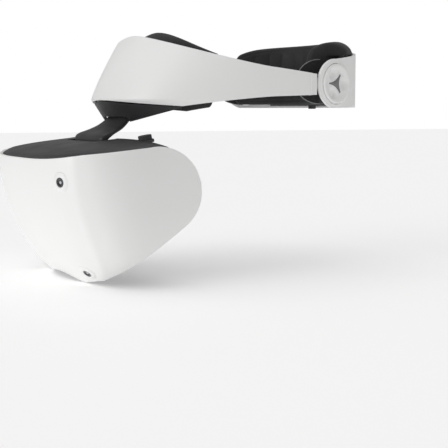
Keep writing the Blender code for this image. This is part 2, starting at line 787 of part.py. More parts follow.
def add_buttons(group, scope):
    for name, (x, y, radius) in BUTTONS.items():
        z = float(bottom_height(np.float64(x), y)) - BUTTON_SUNK
        rod = rod_mesh(name, radius, BUTTON_LENGTH, centre=(0, 0, BUTTON_LENGTH / 2))
        add_object(name, rod, GREY, group, scope, (x, y, z))


def add_rear_frame(group, cutters, scope):
    """The dark wall round the face opening: round at each wing and nearly flat in the middle."""
    across = np.linspace(-1, 1, 37)
    hollow = across**2
    lines = []
    for share in np.linspace(0, 1, 13):
        angle = math.radians(20 + 138 * share)
        end_y, end_z = 30.8 * math.sin(angle), 30.8 * math.cos(angle)
        middle_y, middle_z = 0.5, 34.5 - 67 * share
        y = middle_y + (end_y - middle_y) * hollow
        z = middle_z + (end_z - middle_z) * hollow
        x = across * (wing_width(z) - FRAME_INSET)
        lines.append(np.stack([x, y, z], axis=-1))
    mesh = loft_mesh("scope_rear_frame", np.array(lines))
    face_away(mesh, (0, -60, 0))
    obj = add_object("scope_rear_frame", mesh, BLACK, group, scope)
    thicken(obj, FRAME_WALL)
    opening = prism_mesh("face_opening", rounded_box(SHIELD_HALF[0] + 0.9, SHIELD_HALF[1] + 0.9), 90)
    cut(obj, opening, cutters, scope, (0, 5, LENS_Z), (90, 0, 0))
    cut(obj, box_mesh("tongue_slot", (70, 60, 20), (0, 0, 37.6)), cutters, scope)


def rounded_box(half_x, half_z, power=3.2, steps=48):
    angles = np.arange(steps) * 2 * math.pi / steps
    x = np.sign(np.cos(angles)) * np.abs(np.cos(angles)) ** (2 / power) * half_x
    z = np.sign(np.sin(angles)) * np.abs(np.sin(angles)) ** (2 / power) * half_z
    return list(zip(x.tolist(), z.tolist()))


def add_light_shield(group, scope):
    """The soft shield: a tube from the opening to a rim that follows the face."""
    ring = np.array(rounded_box(*SHIELD_HALF))
    lines = []
    for share in np.linspace(0, 1, 6):
        flare = max(0, share - 0.4) / 0.6
        x = ring[:, 0] * (1 + 0.02 * flare)
        grow = np.where(ring[:, 1] > 0, 1 + 0.12 * flare, 1 + 0.2 * flare)
        nose = 15 * flare * np.exp(-((x / 15) ** 2)) * (ring[:, 1] < 0)
        z = ring[:, 1] * grow + nose + LENS_Z
        rim_y = 24 + 20 * (x / SHIELD_HALF[0]) ** 2
        lines.append(np.stack([x, -4 + (rim_y + 4) * share, z], axis=-1))
    mesh = loft_mesh("light_shield", np.array(lines), around=True)
    face_away(mesh, (0, 10, LENS_Z))
    thicken(add_object("light_shield", mesh, SOFT, group, scope), SHIELD_WALL)


def add_optics(group, cutters, scope):
    """Both lens barrels with their lenses and displays, on a rail each way up in a frame."""
    lug_z = BARREL_RADIUS + LUG_OUT
    forward = (-90, 0, 0)  # turns a piece's own Z to +Y
    for side, label in ((1, "left"), (-1, "right")):
        place = (side * LENS_X, 0, LENS_Z)
        radius, inner = BARREL_RADIUS, BARREL_RADIUS - BARREL_WALL
        wall = [(inner, BARREL_FRONT), (radius, BARREL_FRONT), (radius, BARREL_BACK), (inner, BARREL_BACK)]
        name = "lens_barrel_" + label
        barrel = add_turned(name, wall, BLACK, group, scope, place, forward, sides=36, closed=True)
        for up in (1, -1):
            lug = box_mesh("lug", (14, 8, 6), (0, LENS_RAIL_Y, up * lug_z))
            cut(barrel, lug, cutters, scope, place, operation="UNION")
        for up in (1, -1):
            bore = rod_mesh("bore", LENS_RAIL_RADIUS + 0.25, 30, "X", (0, LENS_RAIL_Y, up * lug_z))
            cut(barrel, bore, cutters, scope, place)
        lens_radius = inner - 0.3
        curve = [(0, 5.5), (8, 5), (14, 3.4), (lens_radius, 1), (lens_radius, -2), (10, -4.5), (0, -5.5)]
        add_turned("lens_" + label, curve, GLASS, group, scope, place, forward, sides=36)
        screen = box_mesh("display", (40, 1.6, 40), (0, -32.2, 0))
        add_object("display_" + label, screen, GLASS, group, scope, place)
    for up, label in ((1, "upper"), (-1, "lower")):
        name = "lens_rail_" + label
        place = (0, LENS_RAIL_Y, LENS_Z + up * lug_z)
        add_object(name, rod_mesh(name, LENS_RAIL_RADIUS, 127.4, "X"), STEEL, group, scope, place)
    outline = [(-68, -39), (68, -39), (68, -9), (64, -9), (64, -36.5), (-64, -36.5), (-64, -9), (-68, -9)]
    add_flat("optics_frame", outline, 54, BLACK, group, scope, (0, 0, LENS_Z + 1))


def add_slide_rails(group, scope):
    for side, label in ((1, "left"), (-1, "right")):
        name = "slide_rail_" + label
        place = (side * SLIDE_RAIL_X, -31, SLIDE_RAIL_Z)
        add_object(name, rod_mesh(name, SLIDE_RAIL_RADIUS, 52, "Y"), STEEL, group, scope, place)


def dial_z():
    x, y = DIAL_PLACE
    return float(top_height(np.float64(x), np.float64(y))) + 0.6


def add_lens_dial(group, scope):
    """A dial on top of the scope, at its left rear, with a shaft down to the lens drive."""
    x, y = DIAL_PLACE
    profile = [(0, 3.8), (DIAL_RADIUS - 1, 3.8), (DIAL_RADIUS, 3), (DIAL_RADIUS, 0)]
    profile += [(DIAL_SHAFT, 0), (DIAL_SHAFT, -5.2), (0, -5.2)]
    add_turned("lens_dial", profile, BLACK, group, scope, (x, y, dial_z()))


def add_electronics(group, cutters, scope):
    add_object("main_board", box_mesh("board", (132, 1.6, 46), (0, -41, 2)), BOARD, group, scope)
    sink = add_object("heat_sink", box_mesh("sink", (46, 6, 40), (0, -45.3, 2)), ALUMINIUM, group, scope)
    for slot in range(-5, 6):
        cut(sink, box_mesh("fin_slot", (2, 5, 50), (slot * 4, -46.8, 2)), cutters, scope)
    box = box_mesh("housing", (FAN_SIDE, 8, FAN_SIDE))
    housing = add_object("fan_housing", box, BLACK, group, scope, FAN_PLACE)
    cut(housing, rod_mesh("fan_bore", 17.5, 20, "Y", sides=40), cutters, scope, FAN_PLACE)
    rotor = add_object("fan_rotor", rod_mesh("hub", 6, 6, "Y"), BLACK, group, scope, FAN_PLACE)
    for blade in range(FAN_BLADES):
        vane = box_mesh("vane", (11.5, 1.2, 4.4), (11, 0, 0))
        turn = (35, blade * 360 / FAN_BLADES, 0)
        cut(rotor, vane, cutters, scope, FAN_PLACE, turn, "UNION")


def add_screws(group, scope):
    """Four screws behind the scope's rear frame, near its corners."""
    number = 0
    for side in (1, -1):
        for z in (22, -18):
            number += 1
            name = f"frame_screw_{number}"
            place = (side * 84, 6.6 if z > 0 else 8.2, z)
            add_object(name, rod_mesh(name, 1.6, 8, "Y", sides=16), STEEL, group, scope, place)


def main():
    clear_scene()
    group = new_collection("vr_headset")
    cutters = new_collection("cutters")
    cutters.hide_render = True
    scope = bpy.data.objects.new("scope_frame", None)
    group.objects.link(scope)
    scope.location = Vector(SCOPE_ORIGIN) * MM
    scope.rotation_euler = (math.radians(SCOPE_TILT), 0, 0)

    add_band_shell(group)
    add_band_liner(group)
    add_brow_housing(group, cutters)
    add_forehead_pad(group)
    add_bridge_arm(group)
    add_arm_carriage(group, cutters, scope)
    add_vibration_motor(group)

    add_rear_shell(group, cutters)
    add_rear_liner(group, cutters)
    add_sockets(group)
    add_rear_pad(group)
    for side, label in ((1, "left"), (-1, "right")):
        add_guide(side, "guide_" + label, group)
        add_knob(side, label, group, cutters)

    add_scope_shell(group, cutters, scope)
    add_scope_panels(group, cutters, scope)
    add_buttons(group, scope)
    add_rear_frame(group, cutters, scope)
    add_light_shield(group, scope)
    add_optics(group, cutters, scope)
    add_slide_rails(group, scope)
    add_lens_dial(group, scope)
    add_electronics(group, cutters, scope)
    add_screws(group, scope)


main()
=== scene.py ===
"""Finished surfaces, materials and studio for a vr headset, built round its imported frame.

Lengths in this file are in millimetres unless a name or a comment says otherwise, and each mesh is
scaled to metres as it is made. +Z is up, the wearer looks along -Y, and the wearer's left is +X.
"""

import math

import bpy
import numpy as np
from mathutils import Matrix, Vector


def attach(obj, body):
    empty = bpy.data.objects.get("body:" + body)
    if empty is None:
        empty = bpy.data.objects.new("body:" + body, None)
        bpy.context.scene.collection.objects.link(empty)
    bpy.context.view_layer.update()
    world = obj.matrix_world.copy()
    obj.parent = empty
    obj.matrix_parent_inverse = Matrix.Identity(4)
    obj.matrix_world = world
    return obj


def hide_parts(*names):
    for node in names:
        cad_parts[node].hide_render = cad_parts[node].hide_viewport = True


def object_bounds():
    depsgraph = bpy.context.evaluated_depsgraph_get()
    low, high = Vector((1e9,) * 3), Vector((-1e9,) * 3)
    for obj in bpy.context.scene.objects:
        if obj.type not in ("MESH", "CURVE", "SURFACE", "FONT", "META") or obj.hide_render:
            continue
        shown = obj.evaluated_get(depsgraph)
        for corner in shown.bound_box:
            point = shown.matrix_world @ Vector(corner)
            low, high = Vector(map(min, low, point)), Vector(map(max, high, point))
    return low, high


bl_info = {
    "name": "VR Headset Finish",
    "version": (1, 0, 0),
    "blender": (4, 5, 0),
    "location": "3D View > Sidebar > Headset",
    "description": "Builds the finished surfaces and materials of a vr headset and its studio",
    "category": "Object",
}

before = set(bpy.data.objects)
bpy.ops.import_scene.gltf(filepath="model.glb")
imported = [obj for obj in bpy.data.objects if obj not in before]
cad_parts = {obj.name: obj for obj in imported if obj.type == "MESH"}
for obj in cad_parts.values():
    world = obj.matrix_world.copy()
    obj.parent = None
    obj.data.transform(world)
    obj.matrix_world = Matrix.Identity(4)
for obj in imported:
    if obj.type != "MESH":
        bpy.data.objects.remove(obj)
CAD_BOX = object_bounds()

MM = 0.001

# Headband, as in the frame
BAND_HALF_WIDTH = 88
BAND_POWER = 2.45  # superellipse power of the band seen from above
BAND_FRONT = 118.5
BAND_REAR = 117.5
BAND_LEAN = 31
BAND_LOW = -14
BAND_HIGH = 42
BAND_TOP = 39.8
BAND_CORNER = 52  # degrees from the front, where the lower edge has its corner
ARM_END = 42
ARM_TOP, ARM_TOP_END = 12.4, 7.7
ARM_LOW, ARM_LOW_END = -11, -9.5
BAND_FALL = 0.105  # how much the lower edge falls for each degree from the front
BAND_RISE = 0.218  # and how much it rises again past its corner
LINER_INSET = 11
BROW_LOW = -34
BROW_NOTCH = (24.6, 26.6)  # half widths between which the brow drops again beside the neck
BROW_NOTCH_LOW = -28
PAD_INSET = 14.8
PAD_THICK = 11
PAD_PROUD = 3.4
PAD_SPAN = 71  # degrees to each side of the front
PAD_DEPTH_POWER = 2.6  # superellipse powers of a pad's section
PAD_HEIGHT_POWER = 3.4
PAD_SEAM = (0.86, 0.035)  # the seam's place and width as shares of half the pad's height
PAD_SEAM_DEPTH = 0.5
NECK_FOOT = (0, -8, 36.4)  # in the scope's own frame
NECK_STATIONS = [  # y, z, half width, thickness, lean in degrees, from above the foot to the brow
    (-127, -45.4, 31, 9, 34),
    (-118.7, -40.7, 29.5, 5, 63),
    (-110, -36.3, 26.5, 4.8, 62),
    (-102.5, -30, 23, 5, 55),
    (-98.5, -24, 22, 5, 40),
]

# Rear unit, as in the frame
HUB_Y = 64.5
HUB_RADIUS = 21
KNOB_RADIUS = 17
KNOB_TURN = 15
BUTTON_RADIUS = 9.2
BUTTON_GAP = 0.35
POCKET_DEPTH = 3.9
REAR_LOW = -18
REAR_SHELL_LOW = -20
REAR_TOP = 32.5
REAR_FALL = 0.19  # how much the upper edge falls for each degree from the back
REAR_JOIN = 92  # y where the hubs' round patches meet the back
REAR_SPAN = 71
REAR_PAD_INSET = 13.8
REAR_PAD_THICK = 9
REAR_PAD_TOP = 38.5
ROLL_INSET = 2  # how near to the shell's outer face the pad's rolled top comes
ROLL_DROP = 3.5
ROLL_LIFT = 1.2
ROLL_SPAN = (46, 60)
TONGUE_TIP = 30
TONGUE_LENGTH = 30
TONGUE_TOP = 20.5
TONGUE_LOW = -16.8
TONGUE_INSET = 14.2

# Scope, in its own frame, as in the frame
SCOPE_ORIGIN = np.array((0, -112, -85))
SCOPE_TILT = 11
SCOPE_HALF_WIDTH = 106
SCOPE_POWER = 3.35
SIDE_POWER = 2.5  # of the sides seen from the front
UPPER_REACH = 120
FACE_DEPTH = 76
FACE_RADIUS = 140
FACE_MID = 11.4
WING_RADIUS = 35
WING_START = -6
WING_END = 1.978  # where the wing's surface stops, just short of its middle plane
SCOPE_TOP = 39.5
SCOPE_ARCH = 61.3
LOWER_SLOPE = 0.534
LOWER_REACH = 73.5
PANEL_INSET = 3.3
TOP_BULGE = 5
BOTTOM_BULGE = 3
WALL_INSET = 3.8  # the rear wall's, from the wings
WALL_RADIUS = 30.8  # of the rear wall's edge along the wings
WALL_START, WALL_SWEEP = 20, 138  # degrees down from the top
WALL_TOP, WALL_HEIGHT = 34.5, 67
NECK_SLOT = (31, -18)  # half width and front end of the lid's slot for the neck
LENS_Z = -2
LENS_X = 32
BARREL_RADIUS = 21.4
BARREL_WALL = 2.4
SHIELD_HALF = (64, 26)
SHIELD_POWER = 3.2
SHIELD_WALL = 2.6
CREASE_AT = 0.535  # in u, where the face turns into the wing
CREASE_WIDTH = 0.06
CREASE_HEIGHT = 0.85
CAMERA_SEAT = (3.9, 5.6)  # radii between which the shell is pressed in for a camera
CAMERA_SEAT_DEPTH = 3.2
DIAL_PLACE = (72, 10)
DIAL_RADIUS = 5.4
CAMERAS = {
    "camera_upper_left": (0.406, 0.173),
    "camera_upper_right": (-0.406, 0.173),
    "camera_lower_left": (0.35, 0.903),
    "camera_lower_right": (-0.35, 0.903),
}
BUTTONS = {
    "power_button": (12, -48, 3.5, "power_button"),
    "function_button": (-12, -48, 3.0, "function_button"),
    "scope_release_button": (-58, -38, 5.0, "scope_release"),
}


# ---------------------------------------------------------------- settings


def linear(hex_colour):
    """Scene-linear red, green and blue of an sRGB hex colour."""
    values = [int(hex_colour[i : i + 2], 16) / 255 for i in (0, 2, 4)]
    return [v / 12.92 if v <= 0.04045 else ((v + 0.055) / 1.055) ** 2.4 for v in values]


def colour_property(name, description, hex_colour):
    return bpy.props.FloatVectorProperty(
        name=name, description=description, subtype="COLOR", size=3, min=0, max=1, default=linear(hex_colour)
    )


def length_property(name, description, metres):
    return bpy.props.FloatProperty(
        name=name, description=description, unit="LENGTH", precision=5, min=0, default=metres
    )


class HeadsetSizes(bpy.types.PropertyGroup):
    shell_wall: length_property("Shell wall", "Thickness of the white moulded shells", 0.0025)
    panel_wall: length_property("Panel wall", "Thickness of the black moulded panels", 0.0022)
    edge_radius: length_property("Edge radius", "Rounding along the rims of the shells", 0.0007)
    pad_crown: length_property("Pad crown", "How far the pads swell towards the head", 0.0022)
    rib_pitch: length_property("Rib pitch", "Distance from one rib of a pad to the next", 0.018)
    rib_depth: length_property("Rib depth", "Depth of the channels between the pads' ribs", 0.0009)
    fold_depth: length_property("Fold depth", "Half height of the light shield's folds", 0.0011)


class HeadsetColours(bpy.types.PropertyGroup):
    white: colour_property("White shell", "Moulded white shells", "EFEFEE")
    black: colour_property("Black housing", "Moulded black panels and housings", "29292B")
    pad: colour_property("Pad skin", "Skin of the foam pads", "1E1E20")
    rubber: colour_property("Shield rubber", "Rubber of the light shield", "222224")
    grey: colour_property("Grey button", "Moulded grey buttons", "767678")
    glass: colour_property("Camera glass", "Coated glass of the cameras", "08090C")
    floor: colour_property("Floor", "Opal studio floor", "F7F7F7")


# ---------------------------------------------------------------- mesh tools


def smooth(value, low, high):
    """Smoothstep: 0 at low, 1 at high, level at both."""
    t = np.clip((value - low) / (high - low), 0, 1)
    return t * t * (3 - 2 * t)


def grid_faces(rows, columns, across=False, along=False):
    """Quads between neighbouring points of a grid.

    across joins each row's ends, and along joins the last row to the first.
    """
    index = np.arange(rows * columns).reshape(rows, columns)
    if across:
        index = np.concatenate([index, index[:, :1]], axis=1)
    if along:
        index = np.concatenate([index, index[:1]], axis=0)
    corners = [index[:-1, :-1], index[1:, :-1], index[1:, 1:], index[:-1, 1:]]
    return np.stack(corners, axis=-1).reshape(-1, 4)


def sheet(grid):
    """Points and faces of an open sheet."""
    return grid, grid_faces(*grid.shape[:2])


def tube(rings):
    """Points and faces of rings that close on themselves, with the last ring joined to the first."""
    return rings, grid_faces(*rings.shape[:2], across=True, along=True)


def capped(rings):
    """Points and faces of a closed body: quads between its rings, and a fan to the middle of each end."""
    rows, columns = rings.shape[:2]
    first, last = np.arange(columns), np.arange(columns) + (rows - 1) * columns
    ends = np.full(columns, rows * columns)
    points = np.concatenate([rings.reshape(-1, 3), rings[:1].mean(axis=1), rings[-1:].mean(axis=1)])
    fans = [
        np.stack([first, np.roll(first, -1), ends], axis=-1),
        np.stack([np.roll(last, -1), last, ends + 1], axis=-1),
    ]
    return points, [grid_faces(rows, columns, across=True), *fans]


def flux(points, faces, centre):
    """Six times the volume swept between centre and the faces: positive when they look away from it."""
    total = 0.0
    for group in faces:
        p = points[group] - centre
        total += np.linalg.det(p[:, :3]).sum()
        if group.shape[1] == 4:
            total += np.linalg.det(p[:, [0, 2, 3]]).sum()
    return total


def put_piece(name, form, finish, body, replaces=(), walls=(0, 0), centre=(0, 0, 0), sharp=0):
    """Makes a piece of a form's points and faces, and rides it on its body.

    The faces look away from centre. walls holds a wall's thickness and its rim's rounding, in metres.
    """
    points, faces = form
    faces = faces if isinstance(faces, list) else [faces]
    points = points.reshape(-1, 3)
    if flux(points, faces, np.array(centre)) < 0:
        faces = [group[:, ::-1] for group in faces]
    mesh = bpy.data.meshes.new(name)
    mesh.from_pydata((points * MM).tolist(), [], [face for group in faces for face in group.tolist()])
    mesh.shade_smooth()
    if sharp:
        mesh.set_sharp_from_angle(angle=math.radians(sharp))
    mesh.materials.append(get_finish(finish))
    piece = bpy.data.objects.new(name, mesh)
    bpy.context.scene.collection.objects.link(piece)
    wall, edge = walls
    if wall:
        solid = piece.modifiers.new("Wall", "SOLIDIFY")
        solid.thickness = wall
        solid.offset = -1
        solid.use_even_offset = True
        solid.use_quality_normals = True
    if edge:
        bevel = piece.modifiers.new("Rim", "BEVEL")
        bevel.width = edge
        bevel.segments = 3
        bevel.limit_method = "ANGLE"
        bevel.angle_limit = math.radians(50)
    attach(piece, body)
    if replaces:
        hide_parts(*replaces)
    return piece


def welded(points, faces, within=0.01):
    """Points that round to the same place are made one, and every face is told their new numbers."""
    _, first, index = np.unique(
        np.round(points / within).astype(int), axis=0, return_index=True, return_inverse=True
    )
    return points[first], index.reshape(-1)[faces]


def along_curve(points, count):
    """Points evenly spaced by length along a polyline, its ends kept."""
    steps = np.linalg.norm(np.diff(points, axis=0), axis=1)
    length = np.concatenate([[0], np.cumsum(steps)])
    at = np.linspace(0, length[-1], count)
    return np.stack([np.interp(at, length, axis) for axis in points.T], axis=-1)


def through(stations, count):
    """Catmull-Rom: each point is the cubic through the four stations round it, row by row."""
    ends = [2 * stations[0] - stations[1], *stations, 2 * stations[-1] - stations[-2]]
    p = np.array(ends)
    at = np.linspace(0, len(stations) - 1, count)
    i = np.minimum(at.astype(int), len(stations) - 2)
    t = (at - i).reshape(-1, *[1] * (p.ndim - 1))
    a, b, c, d = p[i], p[i + 1], p[i + 2], p[i + 3]
    return 0.5 * (2 * b + (c - a) * t + (2 * a - 5 * b + 4 * c - d) * t**2 + (3 * b - a - 3 * c + d) * t**3)


def rounded_profile(corners, radius=0.3, steps=4):
    """A profile whose inner corners are short arcs: quadratic curves that start a radius before each."""
    points = np.array(corners, float)
    before, here, after = points[:-2], points[1:-1], points[2:]
    back, ahead = before - here, after - here
    reach = [np.minimum(radius, 0.45 * np.linalg.norm(v, axis=1))[:, None] for v in (back, ahead)]
    start = here + back / np.linalg.norm(back, axis=1)[:, None] * reach[0]
    end = here + ahead / np.linalg.norm(ahead, axis=1)[:, None] * reach[1]
    t = np.linspace(0, 1, steps)[None, :, None]
    arcs = start[:, None] * (1 - t) ** 2 + 2 * here[:, None] * t * (1 - t) + end[:, None] * t**2
    return np.concatenate([points[:1], arcs.reshape(-1, 2), points[-1:]])


def turned(profile, sides=64):
    """Rings of a turned shape round +Z: each (radius, height) of the profile goes once round the axis."""
    angle = np.linspace(0, 2 * math.pi, sides, endpoint=False)
    radius, height = np.array(profile, float).T
    x, y = radius[:, None] * np.cos(angle), radius[:, None] * np.sin(angle)
    return np.stack([x, y, height[:, None] + 0 * x], axis=-1)


def placed(points, place, axes):
    """Moves points from a piece's own frame: the columns of axes are its x, y and z directions."""
    return points @ np.array(axes, float).T + np.array(place, float)


def polar_reach(outline, centre, angles):
    """Distance from centre to a closed outline at each angle, read off the outline's own angles."""
    away = outline - centre
    at = np.arctan2(away[:, 1], away[:, 0]) % (2 * math.pi)
    order = np.argsort(at)
    return np.interp(angles, at[order], np.hypot(*away[order].T), period=2 * math.pi)


def signed_power(value, power):
    """The power of a value's size, with the value's own sign."""
    return np.sign(value) * np.abs(value) ** power


def superellipse(half_x, half_z, power, angles):
    """Closed outline with |x/a|^p + |z/b|^p = 1, at the given angles."""
    x = signed_power(np.cos(angles), 2 / power) * half_x
    z = signed_power(np.sin(angles), 2 / power) * half_z
    return np.stack([x, z], axis=-1)


# ---------------------------------------------------------------- materials


def add_node(tree, kind, inputs=None, **settings):
    """Adds a node with its settings. Each input is given a value, or the socket that feeds it."""
    made = tree.nodes.new(kind)
    for name, value in settings.items():
        setattr(made, name, value)
    for name, value in (inputs or {}).items():
        if isinstance(value, bpy.types.NodeSocket):
            tree.links.new(value, made.inputs[name])
        else:
            made.inputs[name].default_value = value
    return made


def start_material(name, **sockets):
    """A new material with these constant values on its shader's own sockets."""
    material = bpy.data.materials.new(name)
    material.use_nodes = True
    tree = material.node_tree
    for socket, value in sockets.items():
        tree.nodes["Principled BSDF"].inputs[socket.replace("_", " ")].default_value = value
    return tree, add_node(tree, "ShaderNodeTexCoord").outputs["Object"]


def shaded(colour, factor):
    """A colour made lighter or darker by a factor, with the alpha that a socket wants."""
    return (*[min(1.0, c * factor) for c in colour], 1.0)


def dress(tree, place, colour, patches, gloss, wear=(0.0, 1.5), height=None, depth=(0.0, 0.0)):
    """Gives a material its colour, gloss and relief.

    patches holds the size in millimetres of soft patches and how much they change the tone, gloss the
    roughness and its swing over them, and wear the amount and brightness of paler worn edges, where
    the surface bends sharply. height is a pattern's socket, and depth its swing in millimetres and strength.
    """
    shader = tree.nodes["Principled BSDF"]
    size, spread = patches
    roughness, swing = gloss
    patch = add_node(
        tree, "ShaderNodeTexNoise", {"Vector": place, "Scale": 1 / (size * MM), "Detail": 3.0}
    ).outputs["Fac"]
    tones = {0: patch, 6: shaded(colour, 1 - spread), 7: shaded(colour, 1 + spread)}
    tone = add_node(tree, "ShaderNodeMix", tones, data_type="RGBA").outputs[2]
    bend = add_node(tree, "ShaderNodeNewGeometry").outputs["Pointiness"]
    edges = {"Value": bend, "From Min": 0.52, "From Max": 0.62, "To Min": 0.0, "To Max": wear[0]}
    worn = add_node(tree, "ShaderNodeMapRange", edges).outputs["Result"]
    tones = {0: worn, 6: tone, 7: shaded(colour, wear[1])}
    base = add_node(tree, "ShaderNodeMix", tones, data_type="RGBA").outputs[2]
    swings = {"Value": patch, "From Min": 0.3, "From Max": 0.7}
    swings.update({"To Min": roughness - swing, "To Max": roughness + swing})
    tree.links.new(base, shader.inputs["Base Color"])
    tree.links.new(add_node(tree, "ShaderNodeMapRange", swings).outputs["Result"], shader.inputs["Roughness"])
    if height:
        bumps = {"Height": height, "Distance": depth[0] * MM, "Strength": depth[1]}
        tree.links.new(add_node(tree, "ShaderNodeBump", bumps).outputs["Normal"], shader.inputs["Normal"])


def colours():
    """The scene's own colour settings."""
    return bpy.context.scene.headset_colours


def abs_white_moulded():
    """ABS, injection moulded in a finely etched tool: a satin white skin with a faint grain.

    The real etch is about 0.1 mm across; it is drawn at 0.5 mm, as coarse as it needs to show.
    """
    tree, place = start_material("abs_white_moulded", IOR=1.53, Coat_Weight=0.08, Coat_Roughness=0.3)
    grain = add_node(tree, "ShaderNodeTexNoise", {"Vector": place, "Scale": 1 / (0.5 * MM), "Detail": 2.0})
    white = colours().white
    dress(tree, place, white, (34, 0.012), (0.4, 0.035), (0.5, 1.12), grain.outputs["Fac"], (0.03, 0.18))


def abs_black_moulded():
    """ABS, injection moulded with a spark-eroded texture: soft black that greys where light grazes it.

    Spark erosion leaves pits of 0.05 to 0.2 mm; they are drawn at 0.6 mm so that they show.
    """
    tree, place = start_material("abs_black_moulded", IOR=1.53)
    pits = add_node(tree, "ShaderNodeTexVoronoi", {"Vector": place, "Scale": 1 / (0.6 * MM)})
    black = colours().black
    dress(tree, place, black, (22, 0.07), (0.5, 0.05), (0.55, 2.2), pits.outputs["Distance"], (0.05, 0.3))


def abs_grey_moulded():
    """ABS, injection moulded in mid grey for what is pressed: slightly glossier from fingers."""
    tree, place = start_material("abs_grey_moulded", IOR=1.53)
    grain = add_node(tree, "ShaderNodeTexNoise", {"Vector": place, "Scale": 1 / (0.4 * MM), "Detail": 2.0})
    grey = colours().grey
    dress(tree, place, grey, (6, 0.05), (0.42, 0.08), (0.5, 1.3), grain.outputs["Fac"], (0.03, 0.25))


def polyurethane_skin_foamed():
    """Integral-skin polyurethane foam, foamed in a grained mould: matt black cells, like fine leather.

    The mould's cells are 1.3 mm across.
    """
    tree, place = start_material("polyurethane_skin_foamed", IOR=1.45, Sheen_Weight=0.06, Sheen_Roughness=0.5)
    size = {"Vector": place, "Scale": 1 / (1.3 * MM)}
    cells = add_node(tree, "ShaderNodeTexVoronoi", size, feature="SMOOTH_F1").outputs["Distance"]
    dress(tree, place, colours().pad, (15, 0.12), (0.66, 0.07), (0.5, 1.9), cells, (0.12, 0.55))


def silicone_moulded():
    """Liquid silicone rubber, moulded and dusted matt: a soft black with a faint bloom and a 0.7 mm grain."""
    tree, place = start_material("silicone_moulded", IOR=1.41, Sheen_Weight=0.2, Sheen_Roughness=0.45)
    grain = add_node(tree, "ShaderNodeTexNoise", {"Vector": place, "Scale": 1 / (0.7 * MM), "Detail": 3.0})
    rubber = colours().rubber
    dress(tree, place, rubber, (12, 0.15), (0.7, 0.08), (0.5, 1.8), grain.outputs["Fac"], (0.06, 0.35))


def steel_ground():
    """Stainless steel, ground: fine parallel lines 0.3 mm apart that draw the highlight out."""
    tree, place = start_material("steel_ground", Metallic=1.0)
    stretch = add_node(tree, "ShaderNodeMapping", {"Vector": place, "Scale": (0.05, 0.05, 1.0)})
    grit = {"Vector": stretch.outputs["Vector"], "Scale": 1 / (0.3 * MM), "Detail": 2.0}
    lines = add_node(tree, "ShaderNodeTexNoise", grit)
    steel = linear("B9BBBE")
    dress(tree, place, steel, (8, 0.05), (0.3, 0.06), height=lines.outputs["Fac"], depth=(0.02, 0.3))


def aluminium_extruded():
    """Aluminium, extruded: pale grey with die lines 0.4 mm apart along the fins."""
    tree, place = start_material("aluminium_extruded", Metallic=1.0)
    stretch = add_node(tree, "ShaderNodeMapping", {"Vector": place, "Scale": (1.0, 1.0, 0.04)})
    die = {"Vector": stretch.outputs["Vector"], "Scale": 1 / (0.4 * MM), "Detail": 2.0}
    lines = add_node(tree, "ShaderNodeTexNoise", die)
    aluminium = linear("A9ABAD")
    dress(tree, place, aluminium, (10, 0.05), (0.38, 0.07), height=lines.outputs["Fac"], depth=(0.03, 0.35))


def glass_fibre_board_printed():
    """Glass-fibre epoxy board with a printed green mask: darker tracks and pale pads in 2.5 mm blocks."""
    tree, place = start_material("glass_fibre_board_printed", IOR=1.55)
    mask = linear("1E4A34")
    upright = {"Vector": place, "Rotation": (math.pi / 2, 0.0, 0.0)}
    pads = {
        "Vector": add_node(tree, "ShaderNodeMapping", upright).outputs["Vector"],
        "Scale": 1 / (5 * MM),
        "Color1": shaded(mask, 0.7),
        "Color2": shaded(linear("2E6A48"), 1.0),
        "Mortar": shaded(linear("B9A15A"), 1.0),
        "Mortar Size": 0.03,
    }
    blocks = add_node(tree, "ShaderNodeTexBrick", pads)
    dress(tree, place, mask, (9, 0.1), (0.42, 0.06), height=blocks.outputs["Fac"], depth=(0.04, 0.4))
    tree.links.new(blocks.outputs["Color"], tree.nodes["Principled BSDF"].inputs["Base Color"])


def glass_coated_dark():
    """Optical glass over a black barrel, with a coating: almost black, sharp highlights, a breath of blue."""
    tree, place = start_material("glass_coated_dark", IOR=1.52, Coat_Weight=1.0, Coat_Roughness=0.03)
    dust = add_node(tree, "ShaderNodeTexNoise", {"Vector": place, "Scale": 1 / (0.8 * MM), "Detail": 2.0})
    glass = colours().glass
    dress(tree, place, glass, (5, 0.3), (0.1, 0.03), height=dust.outputs["Fac"], depth=(0.004, 0.1))


def glass_painted_reflection():
    """The camera's front element: polished glass with a pale base colour, a painted reflection of the sky, so
    it reads as a pale dot.
    """
    tree, place = start_material("glass_painted_reflection", IOR=1.6, Coat_Weight=1.0, Coat_Roughness=0.02)
    dress(tree, place, linear("C9CDD3"), (1, 0.06), (0.12, 0.03))


def acrylic_lens_moulded():
    """Acrylic, moulded in a polished tool with ring steps: clear and dark, with faint smears in its gloss."""
    sockets = {"IOR": 1.49, "Transmission_Weight": 0.5, "Coat_Weight": 0.4, "Coat_Roughness": 0.05}
    tree, place = start_material("acrylic_lens_moulded", **sockets)
    dress(tree, place, linear("34383C"), (9, 0.06), (0.09, 0.04))


def display_glass_laminated():
    """A display under laminated glass, switched off: black with a 1 mm cell pattern too fine to see lit."""
    tree, place = start_material("display_glass_laminated", IOR=1.5, Coat_Weight=0.6)
    cells = add_node(tree, "ShaderNodeTexVoronoi", {"Vector": place, "Scale": 1 / (1.0 * MM)})
    off = linear("0C0D12")
    dress(tree, place, off, (7, 0.2), (0.12, 0.04), height=cells.outputs["Distance"], depth=(0.003, 0.1))


